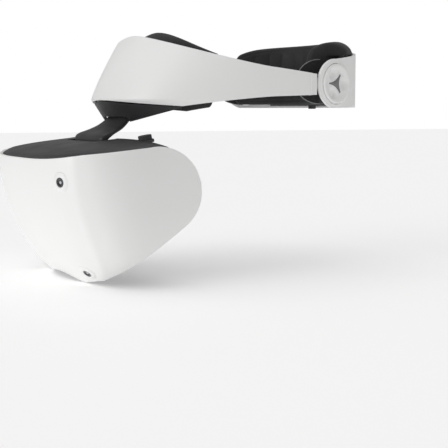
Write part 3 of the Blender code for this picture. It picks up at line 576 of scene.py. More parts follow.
def acrylic_opal_backlit():
    """A light table's opal acrylic sheet, faintly lit from below: nearly white, with a 3 mm stipple."""
    sockets = {"IOR": 1.49, "Emission_Strength": 0.3, "Emission_Color": (1.0, 1.0, 1.0, 1.0)}
    tree, place = start_material("acrylic_opal_backlit", **sockets)
    stipple = add_node(tree, "ShaderNodeTexNoise", {"Vector": place, "Scale": 1 / (3 * MM), "Detail": 2.0})
    floor = colours().floor
    dress(tree, place, floor, (300, 0.005), (0.75, 0.05), height=stipple.outputs["Fac"], depth=(0.05, 0.1))


FINISHES = {
    maker.__name__: maker
    for maker in (
        abs_white_moulded,
        abs_black_moulded,
        abs_grey_moulded,
        polyurethane_skin_foamed,
        silicone_moulded,
        steel_ground,
        aluminium_extruded,
        glass_fibre_board_printed,
        glass_coated_dark,
        glass_painted_reflection,
        acrylic_lens_moulded,
        display_glass_laminated,
        acrylic_opal_backlit,
    )
}


def get_finish(name):
    """The material of that name, made when it is first wanted."""
    if name not in bpy.data.materials:
        FINISHES[name]()
    return bpy.data.materials[name]


def refinish(finish, *nodes):
    """Gives frame nodes a finish in every slot of their own."""
    for name in nodes:
        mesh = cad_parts[name].data
        mesh.materials.clear()
        mesh.materials.append(get_finish(finish))


# ---------------------------------------------------------------- shapes of the headband


def front_length(z):
    """How far forward the band reaches at height z: a power-law lean above, a straight tuck below."""
    lean = BAND_LEAN * (np.maximum(0, z - BAND_LOW) / (BAND_HIGH - BAND_LOW)) ** 1.2
    return BAND_FRONT - lean - 0.7 * np.maximum(0, BAND_LOW - z)


def oval(angle, length, inset=0):
    """Plan of the band: the superellipse at an angle from its end, moved in along its own normal."""
    sine, cosine = np.abs(np.sin(angle)), np.abs(np.cos(angle))
    x = BAND_HALF_WIDTH * sine ** (2 / BAND_POWER)
    y = length * cosine ** (2 / BAND_POWER)
    slope_x = (x / BAND_HALF_WIDTH) ** (BAND_POWER - 1) / BAND_HALF_WIDTH
    slope_y = (y / length) ** (BAND_POWER - 1) / length
    size = np.hypot(slope_x, slope_y)
    return np.sign(angle) * (x - inset * slope_x / size), y - inset * slope_y / size


def angle_at(y):
    """Angle from the rear where the band's rear oval reaches y."""
    return np.arccos(np.clip(y / BAND_REAR, 0, 1) ** (BAND_POWER / 2))


def band_top(degrees):
    """The band's upper edge: it falls from the front to the arm as a power of the angle."""
    return BAND_TOP - (BAND_TOP - ARM_TOP) * (degrees / 90) ** 1.25


def band_bottom(degrees):
    """The band's lower edge: straight down to its corner and straight up past it."""
    falling = BAND_LOW - BAND_FALL * degrees
    corner = BAND_LOW - BAND_FALL * BAND_CORNER
    return np.where(degrees < BAND_CORNER, falling, corner + BAND_RISE * (degrees - BAND_CORNER))


def brow_bottom(degrees):
    """The brow's lower edge: it rises from the front to the band's corner as a power of the angle."""
    return BROW_LOW + (band_bottom(BAND_CORNER) - 1 - BROW_LOW) * (degrees / BAND_CORNER) ** 1.4


def band_grid(low, high, span, inset, rows, columns, arm_columns=0, arm_inset=None):
    """Rows from the upper to the lower edge of a wall on the band: straight lines in height, ovals in plan.

    The arms carry on along the rear oval from the widest point to ARM_END.
    """
    angles = np.radians(np.linspace(-span, span, columns))
    degrees = np.abs(np.degrees(angles))
    share = np.linspace(1, 0, rows)[:, None]
    z = low(degrees) + (high(degrees) - low(degrees)) * share
    x, y = oval(angles[None, :] + 1e-9, front_length(z), inset)
    grid = np.stack([x, -y, z], axis=-1)
    if not arm_columns:
        return grid
    ys = np.linspace(0, ARM_END, arm_columns + 1)[1:]
    along = ys / ARM_END
    top = high(90) + (ARM_TOP_END - ARM_TOP) * along
    bottom = low(90) + (ARM_LOW_END - ARM_LOW) * along
    arm_x, arm_y = oval(angle_at(ys), BAND_REAR, inset + (arm_inset(ys) if arm_inset else 0))
    arm_z = bottom + (top - bottom) * share
    left = np.stack([arm_x + 0 * arm_z, arm_y + 0 * arm_z, arm_z], axis=-1)
    return np.concatenate([left[:, ::-1] * (-1, 1, 1), grid, left], axis=1)


def arm_step(y):
    """The arm's end is stepped in, where it slides under the rear unit, with a shallow groove before it."""
    return 0.7 * smooth(y, 36.4, 37.4) + 0.35 * np.exp(-(((y - 34.6) / 0.5) ** 2))


def pad_body(low, high, span, inset, thick, crown, side, end_share):
    """A pad as rings round its section, one ring for each step along the band.

    Each ring is a superellipse: its height runs from low to high and its depth from inset to inset plus
    thick. The inner side swells by crown in the middle, broad ribs cross it as cosine channels, and a
    seam groove runs round it. Near both ends the section shrinks by a quarter ellipse. The rear pad's
    top rolls outward over the shell: depth is pulled out by a smoothstep of height.
    """
    pitch, rib_depth = sizes().rib_pitch / MM, sizes().rib_depth / MM
    t = np.linspace(-1, 1, 361)
    t = np.sign(t) * (1 - (1 - np.abs(t)) ** 1.25)
    angles = np.radians(t * span)
    degrees = np.abs(t) * span
    ring = np.linspace(0, 2 * math.pi, 144, endpoint=False)
    depth = signed_power(np.cos(ring), 2 / PAD_DEPTH_POWER)
    height = signed_power(np.sin(ring), 2 / PAD_HEIGHT_POWER)
    past = np.clip((np.abs(t) - (1 - end_share)) / end_share, 0, 1)
    shrink = np.sqrt(np.clip(1 - past**2, 0, 1))[:, None]
    bottom, top = low(degrees)[:, None], high(degrees)[:, None]
    middle = (top + bottom) / 2
    z = middle + height * (top - bottom) / 2 * shrink
    inner = smooth(depth, 0.2, 1.0)
    arc = 90 * np.radians(span) * t / pitch
    across = smooth(1 - np.abs(height), 0.14, 0.3) * inner
    ribs = (0.5 - 0.5 * np.cos(2 * math.pi * arc))[:, None] ** 0.35
    seam = np.exp(-(((np.abs(height) - PAD_SEAM[0]) / PAD_SEAM[1]) ** 2)) * inner
    reach = (depth + 1) / 2 * thick * (0.35 + 0.65 * shrink) + crown * (1 - height**2) * inner * shrink
    reach = reach - (1 - ribs) * across * rib_depth - PAD_SEAM_DEPTH * seam
    if side == "front":
        x, y = oval(angles[:, None] + 1e-9, front_length(z), inset + reach)
        return np.stack([x, -y, z], axis=-1)
    rim = rear_top(degrees)[:, None]
    fade = (1 - smooth(degrees, *ROLL_SPAN))[:, None]
    roll = smooth(z, rim + ROLL_LIFT - 0.3, rim + ROLL_LIFT + 1.6) * (1 - smooth(depth, -1.0, 0.7))
    reach = reach - (REAR_PAD_INSET - ROLL_INSET) * fade * roll
    drop = ROLL_DROP * fade * smooth(-reach, -3.0, REAR_PAD_INSET - ROLL_INSET)
    z = np.maximum(z - drop, np.minimum(z, rim + ROLL_LIFT))
    x, y = oval(angles[:, None] + 1e-9, BAND_REAR, inset + reach)
    return np.stack([x, y, z], axis=-1)


def painted_highlight_cord(path, radius, sides=10):
    """A thin round grey cord carried along a path, a painted highlight on the edge it follows: each ring
    stands square to the path's direction.
    """
    ahead = np.gradient(path, axis=0)
    ahead /= np.linalg.norm(ahead, axis=1)[:, None]
    flat = np.cross(ahead, (0, 0, 1.0))
    flat /= np.linalg.norm(flat, axis=1)[:, None]
    up = np.cross(flat, ahead)
    angle = np.linspace(0, 2 * math.pi, sides, endpoint=False)[None, :, None]
    thin = np.ones(len(path))
    thin[[0, -1]] = 0.3
    offset = np.cos(angle) * flat[:, None] + np.sin(angle) * up[:, None]
    return path[:, None] + offset * radius * thin[:, None, None]


# ---------------------------------------------------------------- shapes of the scope


def wing_width(z):
    """Half width of the scope at height z: 1 minus a power, widest at WING_START."""
    down, up = (WING_START - z) / LOWER_REACH, (z - WING_START) / UPPER_REACH
    share = np.clip(np.where(z < WING_START, down, up), 0, 0.999)
    return SCOPE_HALF_WIDTH * (1 - share**SIDE_POWER) ** (1 / SIDE_POWER)


def face_reach(z):
    """How far forward the face reaches at height z: a circle's arc seen from the side."""
    return np.sqrt(FACE_RADIUS**2 - (z - FACE_MID) ** 2) - FACE_RADIUS + FACE_DEPTH


def scope_plan(u, z, inset=0):
    """Plan of the scope: a superellipse for u from 0 to 1, then a quarter circle along the wing."""
    angle = np.clip(u, 0, 1) * math.pi / 2
    x = (wing_width(z) - inset) * np.sin(angle) ** (2 / SCOPE_POWER)
    y = -(face_reach(z) - inset) * np.cos(angle) ** (2 / SCOPE_POWER)
    wing = np.clip(u - 1, 0, 1) * math.pi / 2
    return x, np.where(u > 1, (WING_RADIUS - inset) * np.sin(wing), y)


def top_edge(x, y):
    """Height of the shell's upper rim: level in front, and the wing's circle behind."""
    front = WING_RADIUS + (SCOPE_TOP - WING_RADIUS) * np.clip(-y / 50, 0, 1)
    return np.where(y > 0, np.sqrt(np.clip(WING_RADIUS**2 - y**2, 0, None)), front)


def bottom_edge(x, y):
    """Height of the shell's lower rim: an arch in front, a straight slope, and the wing's circle behind."""
    tangent = WING_RADIUS * 0.494
    straight = -WING_RADIUS * 0.869 - LOWER_SLOPE * (tangent - y)
    low = np.maximum(straight, -SCOPE_ARCH - 8 * (x / 45) ** 2)
    return np.where(y > tangent, -np.sqrt(np.clip(WING_RADIUS**2 - y**2, 0, None)), low)


def scope_rim(u, edge, inset=0):
    """Points of the shell's rim: height from plan and plan from height, repeated until they agree."""
    z = np.zeros_like(u)
    for _ in range(30):
        z = (z + edge(*scope_plan(u, z, inset))) / 2
    return np.stack([*scope_plan(u, z, inset), z], axis=-1)


def scope_point(u, share, inset=0):
    """Point of the scope's surface: u goes round it from side to side, and share down from rim to rim."""
    round_to = np.abs(u)
    top, bottom = scope_rim(round_to, top_edge)[..., 2], scope_rim(round_to, bottom_edge)[..., 2]
    z = top + (bottom - top) * share
    x, y = scope_plan(round_to, z, inset)
    return np.stack([np.where(u < 0, -x, x), y, z], axis=-1)


def even_u(end, count):
    """Values of u from 0 to end that step evenly along the scope's middle line."""
    fine = np.linspace(0, 1, 6000) ** 1.8 * end
    x, y = scope_plan(fine, np.zeros_like(fine))
    length = np.concatenate([[0], np.cumsum(np.hypot(np.diff(x), np.diff(y)))])
    return np.interp(np.linspace(0, length[-1], count), length, fine)


def mirrored(half):
    """A run of points that starts on the middle plane, carried over to the other side."""
    return np.concatenate([half[:0:-1] * (-1, 1, 1), half])


def spread(x, y, z_rim):
    """0 at the middle of the scope's plan and 1 at its rim, by the rim's own power."""
    across = np.abs(x) / wing_width(z_rim)
    ahead = np.clip(-y, 0, None) / face_reach(z_rim)
    return np.clip((across**SCOPE_POWER + ahead**SCOPE_POWER) ** (1 / SCOPE_POWER), 0, 1)


def top_height(x, y):
    """Height of the lid: its rim's, plus a dome that falls off as the fourth power towards the rim."""
    rim = top_edge(x, y)
    return rim + TOP_BULGE * (1 - spread(x, y, rim) ** 4)


def bottom_height(x, y):
    """Height of the floor: its rim's, plus a hollow that falls off as the fourth power towards the rim."""
    rim = bottom_edge(x, y)
    return rim + BOTTOM_BULGE * (1 - spread(x, y, rim) ** 4)


TILT = math.radians(SCOPE_TILT)
SCOPE_AXES = np.array(
    ((1, 0, 0), (0, math.cos(TILT), -math.sin(TILT)), (0, math.sin(TILT), math.cos(TILT)))
)


def scope_world(points):
    """Turns points of the scope's own frame by its tilt about X and moves them to its place."""
    return placed(points, SCOPE_ORIGIN, SCOPE_AXES)


def camera_frame(u, share):
    """Place of a camera on the shell, its outward direction, and how u and share answer a step there."""
    small = 0.004
    here = scope_point(np.float64(u), share)
    by_u = (scope_point(np.float64(u + small), share) - here) / small
    by_share = (scope_point(np.float64(u), share + small) - here) / small
    out = np.cross(by_u, by_share)
    out /= np.linalg.norm(out)
    out = out if out[1] < 0 else -out
    return here, out, np.linalg.pinv(np.stack([by_u, by_share], axis=-1))


def camera_axes(out):
    """Two directions along the shell and the outward one."""
    side = np.cross((0, 0, 1.0), out)
    side /= np.linalg.norm(side)
    return np.stack([side, np.cross(out, side), out], axis=-1)


def ruled_panel(front, back, height, rim_height, rows):
    """Straight lines in plan from the front edge to the back edge; the height follows a function of plan.

    Near the front edge the height eases to the rim's own height within a few millimetres.
    """
    t = np.linspace(0, 1, rows)
    t = (0.5 - 0.5 * np.cos(t * math.pi)) * 0.7 + t * 0.3
    plan = front[None, :, :2] + (back - front[:, :2])[None] * t[:, None, None]
    away = np.linalg.norm(plan - front[None, :, :2], axis=-1)
    x, y = plan[..., 0], plan[..., 1]
    ease = np.exp(-((away / 2.2) ** 2))
    z = height(x, y) * (1 - ease) + rim_height[None] * ease
    return np.stack([x, y, z], axis=-1)


def rear_wall_y(x, z):
    """Depth of the scope's rear wall: an arc at the wings and nearly flat in the middle.

    The share down the wall is found by halving, since height falls steadily with it.
    """
    hollow = (x / (wing_width(z) - WALL_INSET)) ** 2
    low, high = np.zeros_like(z), np.ones_like(z)
    for _ in range(24):
        share = (low + high) / 2
        turn = np.radians(WALL_START + WALL_SWEEP * share)
        at = (WALL_TOP - WALL_HEIGHT * share) * (1 - hollow) + WALL_RADIUS * np.cos(turn) * hollow
        low, high = np.where(at > z, share, low), np.where(at > z, high, share)
    turn = np.radians(WALL_START + WALL_SWEEP * share)
    return 0.5 * (1 - hollow) + WALL_RADIUS * np.sin(turn) * hollow


def with_holes(points, faces, holes):
    """Opens round holes in a sheet: faces with their middle inside go, and their edge moves to the circle."""
    for x, y, radius in holes:
        away = points[:, :2] - (x, y)
        distance = np.linalg.norm(away, axis=1)
        inside = np.linalg.norm(points[faces].mean(axis=1)[:, :2] - (x, y), axis=1) < radius
        edge = np.intersect1d(faces[inside], faces[~inside])
        points[edge, :2] = (x, y) + away[edge] * (radius / distance[edge])[:, None]
        faces = faces[~inside]
    used, faces = np.unique(faces, return_inverse=True)
    return points[used], faces.reshape(-1, 4)


def knob_frame(side):
    """Place and axes of a fit knob: its own z points out of the band, turned a little to the rear."""
    x, y = oval(np.float64(angle_at(HUB_Y)), BAND_REAR)
    turn = math.radians(KNOB_TURN)
    out = np.array((side * math.cos(turn), math.sin(turn), 0))
    rear = np.array((-side * math.sin(turn), math.cos(turn), 0))
    return np.array((side * x, y, 0)), np.stack([np.cross(rear, out), rear, out], axis=-1)


def button_outline(angle, radius):
    """Three blunt corners joined by hollow sides: each side is an arc of a circle centred outside it."""
    third = 2 * math.pi / 3
    off = (angle + math.pi / 2 + third / 2) % third - third / 2
    off = third / 2 - np.abs(off)
    away, arc = 2 * radius, 1.66 * radius
    side = away * np.cos(off) - np.sqrt(np.clip(arc**2 - (away * np.sin(off)) ** 2, 0, None))
    return np.minimum(side, radius)


def knob_height(radius, angle):
    """The knob's dish: a raised rim and three round scoops between the button's corners."""
    rise = 0.35 + 1.25 * smooth(radius, 10.5, 15.4) - 0.5 * smooth(radius, 15.8, 17)
    scoops = 0
    for turn in (0, 1, 2):
        middle = math.pi / 2 + turn * 2 * math.pi / 3
        away = np.hypot(
            radius * np.cos(angle) - 9.2 * math.cos(middle), radius * np.sin(angle) - 9.2 * math.sin(middle)
        )
        scoops = scoops + 1.5 * (1 - smooth(away, 1.5, 6.2))
    return rise - scoops


# ---------------------------------------------------------------- headband operators


PANEL_EDGE = 0.0005  # metres
KNOB_SIDES = ((1, "left"), (-1, "right"))


def sizes():
    """The scene's own size settings, in metres."""
    return bpy.context.scene.headset_sizes


def shell_walls():
    """Thickness and rim rounding of the white shells."""
    return sizes().shell_wall, sizes().edge_radius


def panel_walls():
    """Thickness and rim rounding of the black panels."""
    return sizes().panel_wall, PANEL_EDGE


class BandShell(bpy.types.Operator):
    """Build the white headband with its arms"""

    bl_idname = "headset.band_shell"
    bl_label = "Band shell"

    def execute(self, context):
        form = sheet(band_grid(band_bottom, band_top, 90, 0, 41, 281, 60, arm_step))
        put_piece("headband_shell", form, "abs_white_moulded", "headband", ["band_shell"], shell_walls())
        return {"FINISHED"}


class BandInside(bpy.types.Operator):
    """Build the black liner inside the headband and the brow's skirt below it"""

    bl_idname = "headset.band_inside"
    bl_label = "Band inside"

    def execute(self, context):
        form = sheet(band_grid(self.liner_low, self.liner_high, 90, LINER_INSET, 13, 181, 30))
        put_piece("headband_liner", form, "abs_black_moulded", "headband", ["band_liner"], panel_walls())
        tucked = band_grid(self.skirt_top, self.tuck_top, BAND_CORNER - 1, 4.4, 4, 241)
        skirt = band_grid(self.skirt_low, self.skirt_top, BAND_CORNER - 1, 0.8, 17, 241)
        form = sheet(np.concatenate([tucked, skirt[1:]]))
        put_piece("brow_skirt", form, "abs_black_moulded", "headband", ["brow_housing"], panel_walls())
        return {"FINISHED"}

    def liner_low(self, degrees):
        return band_bottom(degrees) + 2

    def liner_high(self, degrees):
        return band_top(degrees) - 2

    def tuck_top(self, degrees):
        return band_bottom(degrees) + 3.6

    def skirt_top(self, degrees):
        return band_bottom(degrees) - 0.4

    def skirt_low(self, degrees):
        """The brow's lower edge, cut level where the neck passes and smoothstepped down beside it."""
        low = brow_bottom(degrees)
        x, _ = oval(np.radians(degrees) + 1e-9, front_length(low))
        raised = np.maximum(low, BROW_NOTCH_LOW)
        return raised + (low - raised) * smooth(np.abs(x), *BROW_NOTCH)


class BridgeArm(bpy.types.Operator):
    """Build the flared neck that carries the scope"""

    bl_idname = "headset.bridge_arm"
    bl_label = "Bridge arm"

    def execute(self, context):
        foot = scope_world(np.array(NECK_FOOT))
        stations = np.array([(foot[1], foot[2], 30, 10, -6), *NECK_STATIONS])
        y, z, half, thick, lean = through(stations, 61)[:, :, None].transpose(1, 0, 2)
        ring = np.linspace(0, 2 * math.pi, 96, endpoint=False)
        across, deep = signed_power(np.cos(ring), 0.35), signed_power(np.sin(ring), 0.6)
        offset = deep * thick / 2
        turn = np.radians(lean)
        rings = np.stack([across * half, y - offset * np.cos(turn), z + offset * np.sin(turn)], axis=-1)
        put_piece("scope_neck", capped(rings), "abs_black_moulded", "headband", ["bridge_arm"], sharp=60)
        return {"FINISHED"}


def put_pad(name, rings, body, node):
    points, faces = capped(rings)
    middle = points.mean(axis=0)
    piece = put_piece(name, (points, faces), "polyurethane_skin_foamed", body, [node], centre=middle)


class ForeheadPad(bpy.types.Operator):
    """Build the forehead's foam pad"""

    bl_idname = "headset.forehead_pad"
    bl_label = "Forehead pad"

    def execute(self, context):
        crown = sizes().pad_crown / MM
        rings = pad_body(self.low, self.high, PAD_SPAN, PAD_INSET, PAD_THICK, crown, "front", 0.07)
        put_pad("forehead_cushion", rings, "headband", "forehead_pad")
        return {"FINISHED"}

    def low(self, degrees):
        return band_bottom(degrees) - 4

    def high(self, degrees):
        """Proud of the band's upper edge, and falling towards it as a fourth power of the angle."""
        return band_top(degrees) + PAD_PROUD - 1.6 * (degrees / PAD_SPAN) ** 4


# ---------------------------------------------------------------- rear unit operators


def rear_top(degrees):
    """Upper edge of the rear shell: a straight fall from the back to the hubs."""
    return REAR_TOP - REAR_FALL * degrees


def rear_low_edge(y):
    """Lower edge of the rear shell: level behind, and the hub's circle in front of the hub's middle."""
    reach = np.clip(HUB_Y - y, 0, HUB_RADIUS)
    return -np.minimum(-REAR_SHELL_LOW, np.sqrt(HUB_RADIUS**2 - reach**2))


def rear_high_edge(y):
    """Upper edge of the rear shell: its straight fall behind, and the hub's circle where that is lower."""
    reach = np.clip(HUB_Y - y, 0, HUB_RADIUS)
    circle = np.where(y < HUB_Y, np.sqrt(HUB_RADIUS**2 - reach**2), 1e3)
    return np.minimum(rear_top(np.degrees(angle_at(y))), circle)


def on_rear(y, z, out=0):
    """Point of the rear oval at depth y and height z, moved out along the oval's normal."""
    x, moved = oval(angle_at(y), BAND_REAR, -out)
    return np.stack([x, moved, z + 0 * x], axis=-1)


class RearShell(bpy.types.Operator):
    """Build the white shell of the rear unit with a round hub at each end"""

    bl_idname = "headset.rear_shell"
    bl_label = "Rear shell"

    def execute(self, context):
        hub, back = self.hub(), self.back()
        count = hub[..., 0].size
        faces = grid_faces(*hub.shape[:2], across=True)
        points = np.concatenate([hub.reshape(-1, 3), (hub * (-1, 1, 1)).reshape(-1, 3), back.reshape(-1, 3)])
        back_faces = grid_faces(*back.shape[:2])[:, ::-1] + 2 * count
        form = welded(points, np.concatenate([faces[:, ::-1], faces + count, back_faces]))
        put_piece(
            "rear_band_shell",
            form,
            "abs_white_moulded",
            "rear_unit",
            ["rear_shell"],
            shell_walls(),
            centre=(0, HUB_Y - 4.5, 0),
        )
        return {"FINISHED"}

    def hub(self):
        """Straight lines from the knob's hole to the hub's outline, laid on the rear oval, with a low lip."""
        hole = KNOB_RADIUS + 0.35
        join_z = np.linspace(rear_high_edge(REAR_JOIN), rear_low_edge(REAR_JOIN), 29)
        top_y = np.linspace(HUB_Y, REAR_JOIN, 24)[:-1]
        low_y = np.linspace(REAR_JOIN, HUB_Y - 6, 30)[1:]
        low_y = low_y[low_y > HUB_Y]
        turn = np.linspace(math.pi / 2, -math.pi / 2, 90)[1:-1]
        circle_z = np.clip(-HUB_RADIUS * np.sin(turn), REAR_SHELL_LOW, rear_top(np.degrees(angle_at(HUB_Y))))
        outline = np.concatenate(
            [
                np.stack([top_y, rear_high_edge(top_y)], axis=-1),
                np.stack([0 * join_z + REAR_JOIN, join_z], axis=-1),
                np.stack([low_y, rear_low_edge(low_y)], axis=-1),
                np.stack([HUB_Y - HUB_RADIUS * np.cos(turn), circle_z], axis=-1),
            ]
        )
        lean = math.cos(math.radians(KNOB_TURN))
        angle = np.arctan2(outline[:, 1], (outline[:, 0] - HUB_Y) / lean)
        inner = np.stack([HUB_Y + hole * lean * np.cos(angle), hole * np.sin(angle)], axis=-1)
        patch = inner + (outline - inner) * np.linspace(0, 1, 22)[:, None, None]
        away = np.hypot((patch[..., 0] - HUB_Y) / lean, patch[..., 1])
        lip = 0.3 * np.exp(-(((away - 18.3) / 0.8) ** 2))
        return on_rear(patch[..., 0], patch[..., 1], lip * smooth(hole + 5 - away, 0, 2))

    def back(self):
        """The rear oval between the hubs: straight lines in height from the upper to the lower edge."""
        end = float(angle_at(REAR_JOIN))
        angles = np.linspace(-end, end, 241)
        x, y = oval(angles + 1e-12, BAND_REAR)
        top = rear_top(np.abs(np.degrees(angles)))
        z = top + (REAR_SHELL_LOW - top) * np.linspace(0, 1, 29)[:, None]
        return np.stack([x + 0 * z, y + 0 * z, z], axis=-1)


class RearPad(bpy.types.Operator):
    """Build the rear foam pad, the soft tongues ahead of the hubs and the grey cords round them that paint
    their rim highlight
    """

    bl_idname = "headset.rear_pad"
    bl_label = "Rear pad"

    def execute(self, context):
        crown = sizes().pad_crown / MM
        span = REAR_SPAN + 1
        rings = pad_body(self.low, self.high, span, REAR_PAD_INSET, REAR_PAD_THICK, crown, "rear", 0.08)
        put_pad("rear_cushion", rings, "rear_unit", "rear_pad")
        self.tongues()
        refinish("abs_black_moulded", "rear_liner", "guide_left", "guide_right", "cable_inlet")
        refinish("steel_ground", "audio_jack")
        return {"FINISHED"}

    def low(self, degrees):
        return REAR_LOW + 1 + 0 * degrees

    def high(self, degrees):
        """A parabola that falls from the back, and an eighth power that rounds off the ends."""
        return REAR_PAD_TOP - 1.5 * (degrees / 50) ** 2 - 9 * (degrees / REAR_SPAN) ** 8

    def tongues(self):
        """The soft tongue ahead of each hub: a superellipse in height from its tip, with a grey cord round it
        that is a painted highlight of its rim.
        """
        t = np.linspace(0.01, 1, 60) ** 2
        y = TONGUE_TIP + TONGUE_LENGTH * t
        half = (1 - (1 - t) ** 2.2) ** (1 / 2.2)
        share = np.linspace(-1, 1, 25)[:, None]
        z = np.where(share > 0, TONGUE_TOP, TONGUE_LOW) * np.abs(share) * half
        plate = on_rear(y + 0 * z, z, -TONGUE_INSET)
        edge = np.concatenate([plate[-1][::-1], plate[0][1:]])
        path = along_curve(edge, 160) + (0.25, 0, 0)
        for side, label in KNOB_SIDES:
            form = sheet(plate * (side, 1, 1))
            name, walls = "rear_tongue_" + label, (0.0014, 0.0004)
            put_piece(name, form, "polyurethane_skin_foamed", "rear_unit", (), walls, centre=(0, 45, 0))
            # grey cord along the tongue's rim: a painted highlight, not a seam of its own
            form = capped(painted_highlight_cord(path * (side, 1, 1), 0.42))
            put_piece("tongue_welt_" + label, form, "abs_grey_moulded", "rear_unit")


class FitKnobs(bpy.types.Operator):
    """Build the dished knobs that fit the rear unit to the head, with their grey buttons"""

    bl_idname = "headset.fit_knobs"
    bl_label = "Fit knobs"

    def execute(self, context):
        even = np.linspace(0, 2 * math.pi, 216, endpoint=False)
        angle = even - 0.24 * np.sin(3 * (even + math.pi / 2))  # closer together at the button's corners
        knob, button = self.knob(angle), self.button(angle)
        for side, label in KNOB_SIDES:
            place, axes = knob_frame(side)
            body = "knob_" + label
            form = capped(placed(knob, place, axes))
            put_piece("fit_" + body, form, "abs_white_moulded", body, [body], centre=place, sharp=50)
            body = "knob_button_" + label
            form = capped(placed(button, place, axes))
            put_piece("fit_button_" + label, form, "abs_grey_moulded", body, [body], centre=place, sharp=50)
            refinish("abs_black_moulded", "knob_pinion_" + label)
        return {"FINISHED"}

    def knob(self, angle):
        """Rings from the middle of the button's pocket over the dish to the rim and down the back."""
        pocket = button_outline(angle, BUTTON_RADIUS)
        inside = np.linspace(0.04, 1, 12)[:, None] * pocket
        outside = pocket + (KNOB_RADIUS - 0.5 - pocket) * np.linspace(0, 1, 42)[:, None]
        outside[0] += 0.12
        rim = [(16.75, 1.0), (16.95, 0.7), (17, 0.3), (17, -1.2), (16.8, -1.4)]
        rim = np.array([*rim, (10.8, -1.4), (10.8, -5), (0.5, -5)])
        radii = np.concatenate([inside, pocket[None], outside, rim[:, :1] + 0 * angle])
        lip = knob_height(pocket, angle) - 0.12
        heights = np.concatenate(
            [0 * inside - POCKET_DEPTH, lip[None], knob_height(outside, angle), rim[:, 1:] + 0 * angle]
        )
        return np.stack([radii * np.cos(angle), radii * np.sin(angle), heights], axis=-1)

    def button(self, angle):
        """The pocket's outline less a gap, scaled ring by ring over a low crown and down the sides."""
        outline = button_outline(angle, BUTTON_RADIUS) - BUTTON_GAP
        shares = np.array([0.05, 0.4, 0.7, 0.88, 0.96, 1, 1, 1, 0.98, 0.05])[:, None]
        crown = np.array([1.15, 1.1, 1.0, 0.88, 0.74, 0.5, 0.2, -1.7, -1.9, -1.9])[:, None]
        reach = shares * outline
        return np.stack([reach * np.cos(angle), reach * np.sin(angle), crown + 0 * angle], axis=-1)


# ---------------------------------------------------------------- scope operators


class ScopeShell(bpy.types.Operator):
    """Build the white shell of the scope, creased at its wings and pressed in under each camera"""

    bl_idname = "headset.scope_shell"
    bl_label = "Scope shell"

    def execute(self, context):
        half = even_u(WING_END, 150)
        u = np.concatenate([-half[:0:-1], half])
        grid = scope_point(u[None, :], np.linspace(0, 1, 72)[:, None])
        ways = np.cross(np.gradient(grid, axis=1), np.gradient(grid, axis=0))
        ways /= np.linalg.norm(ways, axis=-1)[..., None]
        crest = CREASE_HEIGHT * np.exp(-(((np.abs(u) - CREASE_AT) / CREASE_WIDTH) ** 2))
        grid = grid + ways * np.sign(-ways[..., 1:2]) * crest[None, :, None]
        for place in CAMERAS.values():
            here, out, _ = camera_frame(*place)
            away = grid - here
            along = away @ out
            radius = np.linalg.norm(away - along[..., None] * out, axis=-1)
            near = np.linalg.norm(away, axis=-1) < 14
            push = -CAMERA_SEAT_DEPTH * (1 - smooth(radius, *CAMERA_SEAT)) * near
            grid = grid + push[..., None] * out
        put_piece(
            "scope_outer_shell",
            sheet(scope_world(grid)),
            "abs_white_moulded",
            "scope",
            ["scope_shell"],
            shell_walls(),
            centre=SCOPE_ORIGIN,
        )
        return {"FINISHED"}


class Cameras(bpy.types.Operator):
    """Build the four tracking cameras: a soft white boss, a black barrel and a pale dot on the front glass
    that is a painted reflection
    """

    bl_idname = "headset.cameras"
    bl_label = "Cameras"

    def execute(self, context):
        boss = np.array(
            [(3.75, -2.4), (3.75, 0.7), (3.85, 0.95), (4.1, 1.1), (4.6, 1.12), (5.4, 1.02), (6.3, 0.82)]
            + [(7.1, 0.58), (7.6, 0.4), (7.85, 0.2), (7.9, 0), (7.9, -0.5), (7.4, -1.2), (5.6, -2.4)]
        )
        angle = np.linspace(0, 2 * math.pi, 96, endpoint=False)
        barrel = [(0.3, -0.3), (1.5, -0.15), (3.0, 0.95), (3.6, 1.0), (3.6, -5), (0.3, -5)]
        barrel = rounded_profile(barrel, 0.15)
        # eye: a small pale disc over the lens, a painted reflection of the sky
        eye = [(0.15, 0.7), (0.5, 0.65), (0.85, 0.5), (1.1, 0.25), (1.2, -0.1), (1.1, -0.6), (0.15, -0.6)]
        for name, (u, share) in CAMERAS.items():
            here, out, answer = camera_frame(u, share)
            axes = camera_axes(out)
            step = np.stack([np.cos(angle), np.sin(angle), 0 * angle], axis=-1) @ axes.T
            moves = (boss[:, 0][:, None, None] * step) @ answer.T
            rings = scope_point(u + moves[..., 0], share + moves[..., 1]) + boss[:, 1][:, None, None] * out
            put_piece(name + "_boss", tube(scope_world(rings)), "abs_white_moulded", "scope")
            form = capped(scope_world(placed(turned(barrel, 72), here, axes)))
            put_piece(name + "_barrel", form, "glass_coated_dark", "scope", [name], sharp=40)
            # the pale disc is a painted reflection on the camera's glass
            form = capped(scope_world(placed(turned(eye, 40), here, axes)))
            put_piece(name + "_eye", form, "glass_painted_reflection", "scope")
        return {"FINISHED"}


